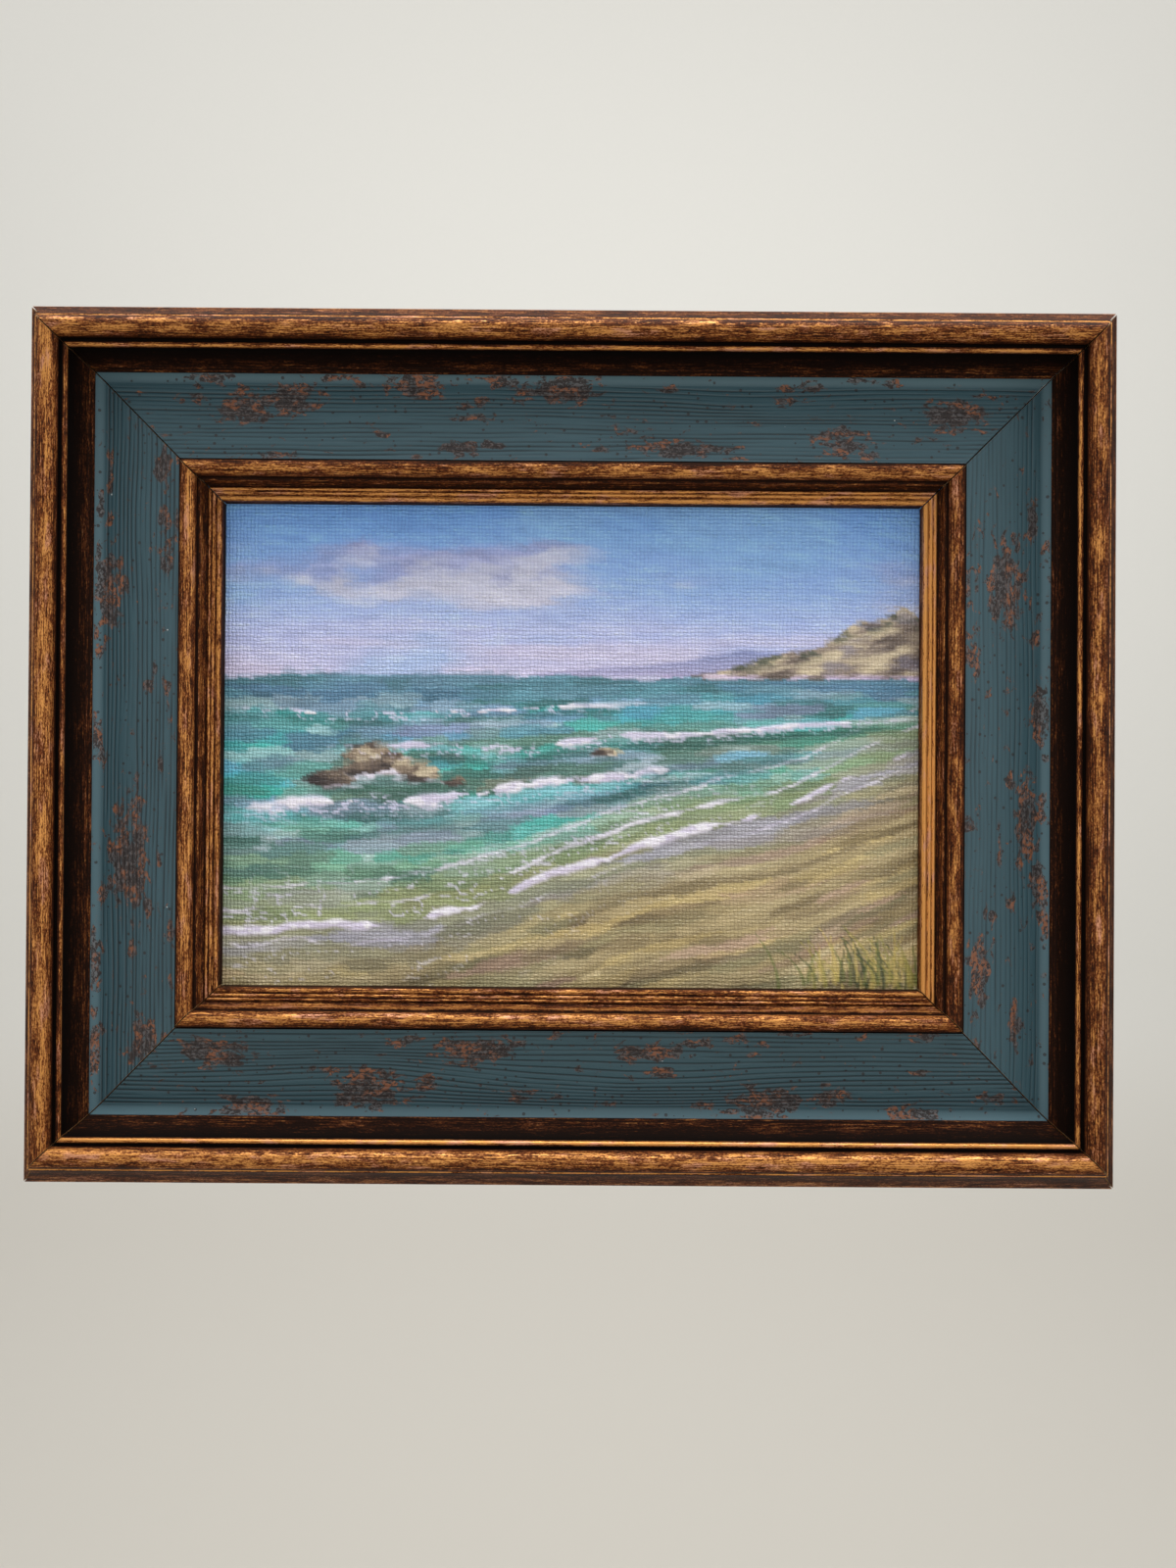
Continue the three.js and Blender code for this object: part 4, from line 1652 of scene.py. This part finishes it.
    def roll(self, wave: Roller) -> None:
        """Paints the body of one low wave: a dark trough, a lit green shoulder and pale streaks.

        Args:
            wave: The wave.
        """
        drop, ends, trail = self.below(wave)
        inside = ends * smooth(drop, -0.3, 0.4)
        mottle = self.noise.layered(self.x / 14.0 + wave.level, self.flow / 3.0, 3)
        shoulder = inside * smooth(drop, wave.body, 0.2) * smooth(mottle, 0.36, 0.6)
        self.brush(self.palette.shoulder, 0.8 * shoulder, 0.12)
        trough = inside * np.exp(-(((drop - 0.7 * wave.body) / (0.32 * wave.body)) ** 2))
        self.brush(self.palette.trough, 0.7 * trough * smooth(mottle, 0.66, 0.42), 0.06)
        self.brush(self.palette.streak, 0.5 * trail * smooth(mottle, 0.48, 0.6), 0.2)

    def crest(self, wave: Roller) -> None:
        """Breaks the foam of a wave along its top, and trails it down in curls.

        Args:
            wave: The wave.
        """
        x, key = self.x, wave.level
        drop, ends, trail = self.below(wave)
        ragged = self.fine.layered(x / 4.0 + key, self.flow / 1.1, 4)
        self.brush(self.palette.curl, 0.85 * self.wisps(trail, (6.0, 1.3), key, 0.05), 0.6)
        width = wave.foam * 1.5 * smooth(self.noise.layered(x / 9.0 + 2.0 * key, 0.0, 3), 0.36, 0.66)
        foam = ends * smooth(np.abs(drop - 0.9 * (ragged - 0.5)), width, 0.3 * width - 0.01)
        self.brush(self.palette.foam, 0.9 * foam, 0.8)
        self.brush(self.palette.foam_light, 0.9 * foam * smooth(ragged, 0.5, 0.58), 1.0)

    def shoreline(self) -> np.ndarray:
        """Finds the water's edge, which lies low at the left and sweeps up to the right.

        Returns:
            Its height at each point's x.
        """
        x = self.x
        sweep = np.clip((x + 83.0) / 166.0, 0.0, 1.0)
        wave = 2.2 * np.sin(x / 15.0 + 0.6) * (1.0 - 0.6 * sweep)
        ragged = self.noise.layered(x / 18.0 + 6.0, 1.0, 3) - 0.5
        return -47.0 + 47.0 * sweep**1.5 + wave + 2.6 * ragged

    def beach(self) -> None:
        """Wet sand that mirrors the sky by the water, and dry khaki sand in long strokes."""
        x, noise, tones = self.x, self.noise, self.palette
        inland = self.shoreline() - self.z
        stroke = noise.layered((x + 1.2 * self.z) / 26.0 + 1.0, (self.z - 0.24 * x) / 2.1 + 5.0, 5)
        self.brush(tones.shallows, 0.7 * smooth(inland, -16.0, 0.0))
        sand = smooth(inland, -1.2, 1.6)
        self.brush(self.graded(stroke, tones.sand), sand, 0.15)
        self.glaze(self.sand_glazes, sand)
        film = smooth(inland, 15.0, 1.0) * smooth(inland, -1.0, 1.5)
        sheen = noise.layered(x / 22.0 + 7.0, self.flow / 2.6 + 2.0, 4)
        self.brush(tones.wet_film, 0.62 * film)
        self.brush(tones.wet_sheen, 0.6 * film * smooth(sheen, 0.5, 0.66))

    def lace(self) -> None:
        """Foam left by spent waves: a thick edge, thin trails behind it and a net of holes."""
        x, noise, tones = self.x, self.noise, self.palette
        inland = self.shoreline() - self.z
        ragged = self.fine.layered(x / 4.0 + 3.0, self.z / 1.4 + 2.0, 4)
        for shift, width, cover in ((0.0, 1.0, 1.0), (-5.4, 0.5, 0.7), (-10.5, 0.4, 0.5), (3.6, 0.3, 0.5)):
            bend = 2.8 * (noise.layered(x / 12.0 + shift, 2.0 + shift, 4) - 0.5)
            thick = width * 1.6 * smooth(noise.layered(x / 10.0 + shift, shift, 3), 0.3, 0.62)
            reach = np.abs(inland - shift - bend - 0.8 * (ragged - 0.5))
            soft = np.maximum(thick, self.finest)
            line = cover * np.minimum(thick / self.finest, 1.0) * smooth(reach, soft, 0.3 * soft)
            self.brush(tones.lace, 0.9 * line, 0.8 * cover)
            self.brush(tones.foam_light, line * smooth(ragged, 0.5, 0.58), cover)
        near = smooth(inland, -17.0, -6.0) * smooth(inland, 0.0, -2.0) * smooth(x, 70.0, 20.0)
        self.brush(tones.lace_net, 0.7 * self.wisps(near, (8.0, 1.7), 1.0, 0.035), 0.6)
        spent = smooth(inland, 1.0, 4.0) * smooth(inland, 26.0, 8.0) * smooth(x, 40.0, -20.0)
        self.brush(tones.lace_spent, 0.5 * self.wisps(spent, (16.0, 2.6), 5.0, 0.018), 0.5)

    def stones(self) -> None:
        """Rounded rocks lit from the right, dark at the foot, with foam gathered round them."""
        x, z, fine, tones = self.x, self.z, self.fine, self.palette
        for rock in self.rocks:
            across, up = (x - rock.x) / rock.half_width, (z - rock.z) / rock.half_height
            rough = fine.layered(x / 3.2 + rock.x, z / 2.4 + rock.z, 4)
            edge = np.sqrt(across**2 + up**2) * (0.74 + 0.58 * rough)
            foot = smooth(up, -0.52, -0.36)
            light = 0.46 * across + 0.62 * up + 3.0 * (rough - 0.5)
            mirror = smooth(np.abs(across), 1.0, 0.5) * smooth(up, -0.4, -0.6) * smooth(up, -1.7, -0.6)
            self.brush(tones.mirror, 0.65 * mirror)
            self.brush(self.graded(light, tones.stone), smooth(edge, 1.0, 0.93) * foot, 0.45)
            wash = np.abs(up + 0.45 - 0.12 * np.sin(4.0 * across) - 0.5 * (rough - 0.5))
            ring = smooth(wash, 0.16, 0.05) * smooth(np.abs(across), 1.4, 0.9)
            self.brush(tones.wash, 0.9 * ring * smooth(rough, 0.36, 0.46), 0.8)

    def grasses(self) -> None:
        """Dune grass in the near corner: each blade is a parabola that thins towards its tip."""
        x, z = self.x, self.z
        draw = np.random.default_rng(self.seed + 5)
        greens = self.palette.grasses
        for _ in range(self.blades):
            base_x = 83.0 - abs(float(draw.normal(0.0, 14.0)))
            base_z = -58.5 + float(draw.uniform(0.0, 3.0))
            tall, bend = float(draw.uniform(5.0, 14.0)), float(draw.normal(-2.0, 3.6))
            share = (z - base_z) / tall
            reach = np.abs(x - base_x - bend * share**2)
            blade = smooth(reach, 0.55 * (1.0 - share) + 0.22, 0.1) * (share > 0.0) * (share < 1.0)
            self.brush(greens[int(draw.integers(len(greens)))], 0.7 * blade, 0.5)

    def paint(self) -> tuple[np.ndarray, np.ndarray]:
        """Paints every layer, from far to near, with the broad brush first and the fine one after.

        Returns:
            The linear colours, and how thick the paint stands from 0 to 1.
        """
        self.sky()
        self.water()
        self.beach()
        self.stroke(self.broad)
        self.hills()
        for wave in self.rollers:
            self.roll(wave)
        self.stones()
        self.stroke(self.fine_brush)
        for wave in self.rollers:
            self.crest(wave)
        self.lace()
        self.grasses()
        hand = self.fine.layered(self.x / 6.0, self.flow / 0.9, 3) - 0.5
        grey = self.colour.mean(axis=-1, keepdims=True)
        vivid = grey + self.purity * (self.colour - grey)
        self.colour = (128.0 + self.contrast * (vivid - 128.0)) * (1.0 + 0.12 * hand[..., None])
        self.body = np.clip(self.body + 0.2 * hand, 0.0, 1.0)
        return to_linear(np.clip(self.colour, 0.0, 255.0)), self.body


@dataclass
class CanvasPanel:
    """The canvas panel: a painted face, wrapped edges and a folded border on the back."""

    back: float
    centre: float
    sight_width: float = 166.0
    sight_height: float = 115.0
    width: float = 178.0
    height: float = 127.0
    front_level: float = 7.7
    rear_level: float = 4.3
    fold: float = 0.4
    fold_width: float = 14.0
    corner: float = 1.2
    impasto: float = 0.28
    bare_rim: Pair = (0.2, 1.4)
    front_round: float = 0.35
    rear_round: float = 0.25
    fold_slope: float = 0.15
    columns: int = 372
    rows: int = 242

    def spaced(self, sight: float, whole: float, count: int) -> np.ndarray:
        """Lines across one direction: even ones over the sight, and one more at each panel edge."""
        inner = np.linspace(-sight / 2.0, sight / 2.0, count - 1)
        return np.concatenate([[-whole / 2.0], inner, [whole / 2.0]])

    def rim(self, x: np.ndarray, z: np.ndarray) -> np.ndarray:
        """Goes once round the edge of the grid.

        Args:
            x: The grid's lines across.
            z: Its lines up.

        Returns:
            The numbers of the points on the edge, in order.
        """
        across, up = len(x), len(z)
        ids = np.arange(across * up).reshape(up, across)
        return np.concatenate([ids[0, :-1], ids[:-1, -1], ids[-1, :0:-1], ids[:0:-1, 0]])

    def skin(self) -> Skin:
        """Joins the painted grid to rings that go round the edge and over the back.

        Each ring is the grid's own rim, scaled to a smaller rectangle and set at its level, so the
        edge, the border, the step of its thickness and the board close the shell.

        Returns:
            The closed skin.
        """
        half_x, half_z = self.width / 2.0, self.height / 2.0
        x = self.spaced(self.sight_width, self.width, self.columns)
        z = self.spaced(self.sight_height, self.height, self.rows)
        flat_x, flat_z = np.meshgrid(x, z)
        colour, body = Seascape(flat_x, flat_z).paint()
        sight_x, sight_z = self.sight_width / 2.0, self.sight_height / 2.0
        bare, full = self.bare_rim
        edge = smooth(np.abs(flat_x), sight_x - bare, sight_x - full)
        edge = edge * smooth(np.abs(flat_z), sight_z - bare, sight_z - full)
        level = self.front_level + self.impasto * body * edge
        corners = (np.abs(flat_x) > 0.998 * half_x) & (np.abs(flat_z) > 0.998 * half_z)
        clip = np.where(corners, 0.35 * self.corner, 0.0)
        face = np.stack(
            [flat_x - np.sign(flat_x) * clip, level, flat_z - np.sign(flat_z) * clip], axis=-1
        ).reshape(-1, 3)
        rim = self.rim(x, z)
        count, base, inset, board = len(rim), len(face), self.fold_width, self.rear_level + self.fold
        rings = [
            (0.0, self.front_level - self.front_round, 1.0),
            (0.0, board, 1.0),
            (self.rear_round, self.rear_level, 1.0),
            (inset - self.fold_slope, self.rear_level, 1.0),
            (inset, board, 0.0),
            (inset + 2.0 * self.fold_slope, board, 0.0),
        ]
        loops = []
        for depth, height, _ in rings:
            loop = face[rim] * [(half_x - depth) / half_x, 0.0, (half_z - depth) / half_z]
            loops.append(loop + [0.0, height, 0.0])
        shell = np.concatenate([face, *loops])
        points = np.stack([shell[:, 0], self.back - shell[:, 1], shell[:, 2] + self.centre], axis=1)
        ids = np.stack([rim, *[base + k * count + np.arange(count) for k in range(len(rings))]])
        row, column = grid(len(z) - 1, len(x) - 1)
        front = (row * len(x) + column)[:, ::-1]
        row, column = grid(len(rings), count)
        band, cap = ids[row, column % count], ids[-1]
        fold = np.abs((np.abs(shell[:, 0]) - half_x) - (np.abs(shell[:, 2]) - half_z))
        tint = np.ones((len(shell), 4))
        tint[:base, :3] = colour.reshape(-1, 3)
        tint[base:, :3] = np.tile(tint[rim, :3], (len(rings), 1))
        return Skin(
            points * MM,
            np.concatenate([front, band]),
            [cap],
            np.concatenate([np.zeros(len(front)), np.ones(len(band)), [1]]),
            {BAKE_MAP: self.bake_map(shell, front, band, cap, np.stack([column / count, row], axis=-1))},
            {
                "impasto": np.concatenate([body.ravel(), np.zeros(count * len(rings))]),
                "border": np.concatenate([np.ones(base), *[np.full(count, mark) for _, _, mark in rings]]),
                "fold": smooth(fold, 0.6, 0.1),
            },
            {"pigment": tint},
        )

    def bake_map(
        self, shell: np.ndarray, front: np.ndarray, band: np.ndarray, cap: np.ndarray, ring: np.ndarray
    ) -> tuple[np.ndarray, list[np.ndarray]]:
        """Lays the face below, and the back and the edge side by side above it, in one square.

        Args:
            shell: Every point as x, level and z.
            front: The face's quads.
            band: The quads of the rings.
            cap: The board's one face.
            ring: The share round the rim and the ring of each corner of the band.

        Returns:
            The map's places for the quads and for the cap.
        """
        whole = np.stack([shell[:, 0] / self.width + 0.5, shell[:, 2] / self.height + 0.5], axis=1)
        face, rear = whole * [1.0, 0.64], whole * [0.46, 0.32] + [0.0, 0.67]
        edge = ring * [0.49, 0.1] + [0.5, 0.70]
        outside = (ring[..., 1].max(axis=1) <= 2)[:, None, None]
        return np.concatenate([face[front], np.where(outside, edge, rear[band])]), [rear[cap]]

    def build(self, finishes: list[bpy.types.Material]) -> bpy.types.Object:
        """Makes the panel, which stands for its plain solid.

        Args:
            finishes: The oils, and the back.

        Returns:
            The panel's object.
        """
        skin = self.skin()
        heights = self.back - skin.points[:, 1] / MM
        face = (self.columns + 1) * (self.rows + 1)

        def sharp(edges: np.ndarray) -> np.ndarray:
            """Finds the edges that lie level round a ring: the painted face has none.

            Args:
                edges: The two points of each edge.

            Returns:
                Whether each one is sharp.
            """
            both = edges.min(axis=1) >= face
            return both & (np.abs(np.diff(heights[edges], axis=1)[:, 0]) < 1e-3)

        piece = skin.cast("canvas_panel_painted", finishes, sharp)
        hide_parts("canvas_panel")
        return piece


# The frame and its fittings ---------------------------------------------------------------------


@dataclass
class Frame:
    """The four rails, each with its own grain and chipped places, round the canvas panel."""

    sight_width: float = 166.0
    sight_height: float = 115.0
    back: float = -2.8
    centre: float = -82.5
    long_columns: int = 236
    short_columns: int = 192

    TOP: ClassVar[tuple[Patch, ...]] = (
        Patch(-77.0, 22.0, 6.5, 3.6),
        Patch(-67.0, 24.6, 6.0, 4.2),
        Patch(-86.0, 30.0, 4.5, 1.6),
        Patch(-90.0, 24.0, 3.5, 1.3, 0.8),
        Patch(-37.0, 28.2, 5.5, 3.2),
        Patch(-3.0, 27.6, 7.5, 3.2),
        Patch(-17.0, 29.0, 4.0, 1.6, 0.8),
        Patch(25.0, 12.4, 9.5, 1.6),
        Patch(63.0, 14.4, 5.5, 3.2),
        Patch(90.0, 21.6, 7.0, 3.6),
        Patch(-26.0, 11.5, 4.0, 1.2, 0.8),
    )
    BOTTOM: ClassVar[tuple[Patch, ...]] = (
        Patch(-83.0, 15.0, 7.5, 3.2),
        Patch(-47.0, 23.8, 7.5, 4.4),
        Patch(-75.0, 28.6, 6.0, 2.6),
        Patch(-21.0, 14.2, 7.5, 3.2),
        Patch(17.5, 14.6, 7.0, 2.0),
        Patch(47.0, 26.6, 7.0, 3.4),
        Patch(63.0, 25.4, 4.5, 2.0, 0.85),
        Patch(82.0, 29.4, 5.0, 2.2),
        Patch(-33.0, 22.0, 4.0, 1.8, 0.8),
        Patch(30.0, 12.0, 4.5, 1.3, 0.8),
    )
    LEFT: ClassVar[tuple[Patch, ...]] = (
        Patch(36.0, 27.6, 10.0, 3.0),
        Patch(-27.0, 21.4, 11.0, 4.4),
        Patch(1.0, 29.6, 4.5, 1.6),
        Patch(-70.0, 17.0, 5.0, 3.0),
        Patch(-72.0, 29.8, 5.5, 1.6),
        Patch(65.0, 13.6, 4.5, 1.8),
        Patch(52.0, 12.6, 4.0, 1.5),
        Patch(-52.0, 29.6, 6.5, 1.6, 0.9),
    )
    RIGHT: ClassVar[tuple[Patch, ...]] = (
        Patch(39.0, 19.4, 9.5, 4.2),
        Patch(9.0, 28.2, 6.5, 2.4),
        Patch(-16.0, 25.0, 9.0, 2.2),
        Patch(-33.0, 27.8, 6.0, 2.0),
        Patch(-52.0, 12.8, 7.5, 2.2),
        Patch(54.0, 26.0, 4.0, 1.4, 0.85),
        Patch(-66.0, 22.0, 4.0, 1.3, 0.8),
        Patch(22.0, 12.0, 5.0, 1.2, 0.75),
    )

    def rails(self) -> list[Rail]:
        """Lays out the four rails, no two rubbed or grained alike, each with painted light and shade in its
        rubbed gilt: two long ones and two short.

        Returns:
            The rails, clockwise from the top.
        """
        wide, high = self.sight_width / 2.0, self.sight_height / 2.0
        top = BrushedGrain(11, 0.85, eyes=((40.0, 24.0, 1.2),))
        bottom = BrushedGrain(37, 1.35, eyes=((-18.0, 22.0, -2.2), (52.0, 19.0, 1.6)))
        plans = (
            # Each side's lifts raise or lower its gilt as painted light and shade for how it faces the light.
            (Side.TOP, top, self.TOP, RubbingAndPaintedLight(0.07, -0.08, -0.04, 0.0)),
            (Side.RIGHT, BrushedGrain(23, 0.45), self.RIGHT, RubbingAndPaintedLight(0.26, -0.02, -0.09, -0.05)),
            (Side.BOTTOM, bottom, self.BOTTOM, RubbingAndPaintedLight(-0.09, 0.14, -0.01, 0.2)),
            (Side.LEFT, BrushedGrain(53, 1.0), self.LEFT, RubbingAndPaintedLight(-0.03, 0.02, -0.01, -0.2)),
        )
        made = []
        for side, grain, patches, rubbing_and_light in plans:
            lying = side in (Side.TOP, Side.BOTTOM)
            half, sight = (wide, high) if lying else (high, wide)
            columns = self.long_columns if lying else self.short_columns
            made.append(Rail(side, half, sight, self.back, self.centre, grain, patches, columns, rubbing_and_light))
        return made

    def build(self) -> list[bpy.types.Object]:
        """Makes the rails and the canvas panel that they hold.

        Returns:
            The five pieces.
        """
        coats = [RubbedBronze().make(), DistressedTeal().make(), BareTimber().make()]
        pieces = [rail.build(coats) for rail in self.rails()]
        panel = CanvasPanel(self.back, self.centre, self.sight_width, self.sight_height)
        pieces.append(panel.build([OilPaint().make(), PanelBack().make()]))
        return pieces


@dataclass
class Fittings:
    """The points, and the hanger with its nails: solids whose shape is right as it is."""

    nodes: dict[str, bpy.types.Object]
    zinc: SheetMetal = SheetMetal("zinc_sheet", pigment(196, 198, 202), pigment(150, 152, 156), 0.3)
    brass: SheetMetal = SheetMetal("brassed_sheet", pigment(206, 164, 82), pigment(160, 118, 56), 0.28)

    def dress(self) -> list[str]:
        """Gives each fitting its metal.

        Returns:
            The names of the nodes that were dressed.
        """
        zinc, brass = self.zinc.make(), self.brass.make()
        dressed = []
        for name, node in self.nodes.items():
            if name.startswith(("point_", "hanger_")):
                finish = brass if name == "hanger_plate" else zinc
                for slot in node.material_slots:
                    slot.material = finish
                dressed.append(name)
        return dressed


# The studio -------------------------------------------------------------------------------------


@dataclass(frozen=True)
class Lamp:
    """A soft rectangular lamp: where it stands and faces, its width and height, watts and colour."""

    name: str
    place: Triple
    aim: Triple
    size: Pair
    power: float
    colour: Triple

    def hang(self) -> None:
        """Puts the lamp in the scene, turned to the place that it faces."""
        light = bpy.data.lights.new(self.name, "AREA")
        light.shape = "RECTANGLE"
        light.size, light.size_y = self.size
        light.energy = self.power
        light.color = self.colour
        lamp = link(self.name, light)
        lamp.location = self.place
        lamp.rotation_euler = (Vector(self.aim) - Vector(self.place)).to_track_quat("-Z", "Y").to_euler()


@dataclass
class Studio:
    """A pale sweep far behind and below, soft daylight from above, and the camera.

    `nod`, `sway` and `spin` turn the camera in degrees.
    """

    floor_z: float = -0.75
    wall_y: float = 1.1
    bend: float = 0.45
    half_width: float = 3.0
    front_y: float = -2.2
    rise: float = 2.6
    bend_steps: int = 24
    paper: Colour = pigment(226, 224, 218)
    fleck: Colour = pigment(184, 182, 178)
    mottle: Cloud = Cloud((0.004, 0.004, 0.004), 3.0, 1.0)
    low_painted_shade: Colour = pigment(204, 199, 190)
    low_levels: Pair = (-0.60, -0.28)
    stand: Triple = (0.0039, -0.2920, -0.0929)
    nod: float = 0.30
    sway: float = 0.03
    spin: float = 0.40
    sensor: float = 36.0
    focal: float = 27.0

    MIDDLE: ClassVar[Triple] = (0.0, -0.02, -0.0825)
    LAMPS: ClassVar[tuple[Lamp, ...]] = (
        Lamp("window", (0.0, -0.16, 0.85), MIDDLE, (1.3, 0.3), 11.0, (0.97, 0.99, 1.0)),
        Lamp("skylight", (0.16, -0.36, 0.78), MIDDLE, (1.1, 0.4), 4.0, (0.97, 0.99, 1.0)),
        Lamp("side_right", (0.80, -0.42, 0.0), MIDDLE, (0.35, 0.8), 1.6, (1.0, 0.99, 0.97)),
        Lamp("side_left", (-0.80, -0.42, -0.05), MIDDLE, (0.35, 0.8), 1.2, (1.0, 0.98, 0.95)),
        Lamp("room", (0.0, -0.95, -0.10), MIDDLE, (0.8, 0.5), 1.5, (1.0, 0.99, 0.97)),
        Lamp("wall_wash", (0.0, 0.25, 1.5), (0.0, 1.0, 0.3), (3.6, 0.6), 15.0, (1.0, 0.99, 0.97)),
    )

    def sweep(self) -> bpy.types.Object:
        """The backdrop: a flat floor, a quarter round and a flat wall, with painted shade that darkens it a
        little low down.

        Returns:
            The backdrop's object.
        """
        angle = np.linspace(0.0, math.pi / 2.0, self.bend_steps)
        y = self.wall_y - self.bend + self.bend * np.sin(angle)
        y = np.concatenate([[self.front_y], y, [self.wall_y]])
        z = np.concatenate([[0.0], self.bend * (1.0 - np.cos(angle)), [self.rise]]) + self.floor_z
        x = np.linspace(-self.half_width, self.half_width, 3)
        points = np.stack(np.broadcast_arrays(x[None, :], y[:, None], z[:, None]), axis=-1).reshape(-1, 3)
        row, column = grid(len(y) - 1, len(x) - 1)
        faces = (row * len(x) + column)[:, ::-1]
        mesh = bpy.data.meshes.new("backdrop")
        mesh.from_pydata(points.tolist(), [], faces.tolist(), shade_flat=False)
        net = Net("pale_backdrop")
        place = net.place()
        _, _, up = net.parts(place)
        paper = net.blend(0.05 * net.cloud(place, self.mottle), self.paper, self.fleck)
        # Painted shade: the backdrop darkens towards the floor.
        paper = net.blend(1.0 - up.ease(*self.low_levels), paper, self.low_painted_shade)
        mesh.materials.append(net.surface({"Base Color": paper, "Roughness": 0.85}))
        backdrop = link("backdrop", mesh)
        return backdrop

    def light(self) -> None:
        """Daylight from above and a little to the right, with the pale room as its fill."""
        for lamp in self.LAMPS:
            lamp.hang()
        world = bpy.data.worlds.new("pale_room")
        world.use_nodes = True
        background = world.node_tree.nodes["Background"]
        background.inputs["Color"].default_value = pigment(226, 228, 230)
        background.inputs["Strength"].default_value = 0.42
        bpy.context.scene.world = world

    def camera(self) -> None:
        """A camera in front of the painting, turned less than half a degree off square."""
        spin = Matrix.Rotation(math.radians(self.spin), 3, "Z")
        nod = Matrix.Rotation(math.radians(self.nod), 3, "X")
        sway = Matrix.Rotation(math.radians(self.sway), 3, "Y")
        right, down, toward = (Vector((row[0], -row[2], -row[1])) for row in sway @ nod @ spin)
        basis = Matrix((right, -down, toward)).transposed()
        lens = bpy.data.cameras.new("camera")
        lens.sensor_fit = "VERTICAL"
        lens.sensor_height = self.sensor
        lens.lens = self.focal
        lens.clip_start = 0.01
        camera = link("camera", lens)
        camera.matrix_world = Matrix.Translation(Vector(self.stand)) @ basis.to_4x4()
        bpy.context.scene.camera = camera

    def build(self) -> None:
        """Sets up the backdrop, the light and the camera."""
        self.sweep()
        self.light()
        self.camera()
        bpy.context.scene.view_settings.view_transform = "Standard"


def corners(box: Iterable[Iterable[float]]) -> list[list[float]]:
    """A box's lowest and highest corner as plain lists of numbers."""
    return [[round(float(number), 6) for number in corner] for corner in box]


def main() -> None:
    """Builds the painting in its frame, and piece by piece."""
    logging.basicConfig(level=logging.INFO, format="%(message)s")
    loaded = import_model()
    Studio().build()
    for piece in Frame().build():
        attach(piece, BODY)
        LOG.info("%s: %d faces", piece.name, len(piece.data.polygons))
    for name in Fittings(loaded["nodes"]).dress():
        LOG.info("%s: dressed", name)


if __name__ == "__main__":
    main()
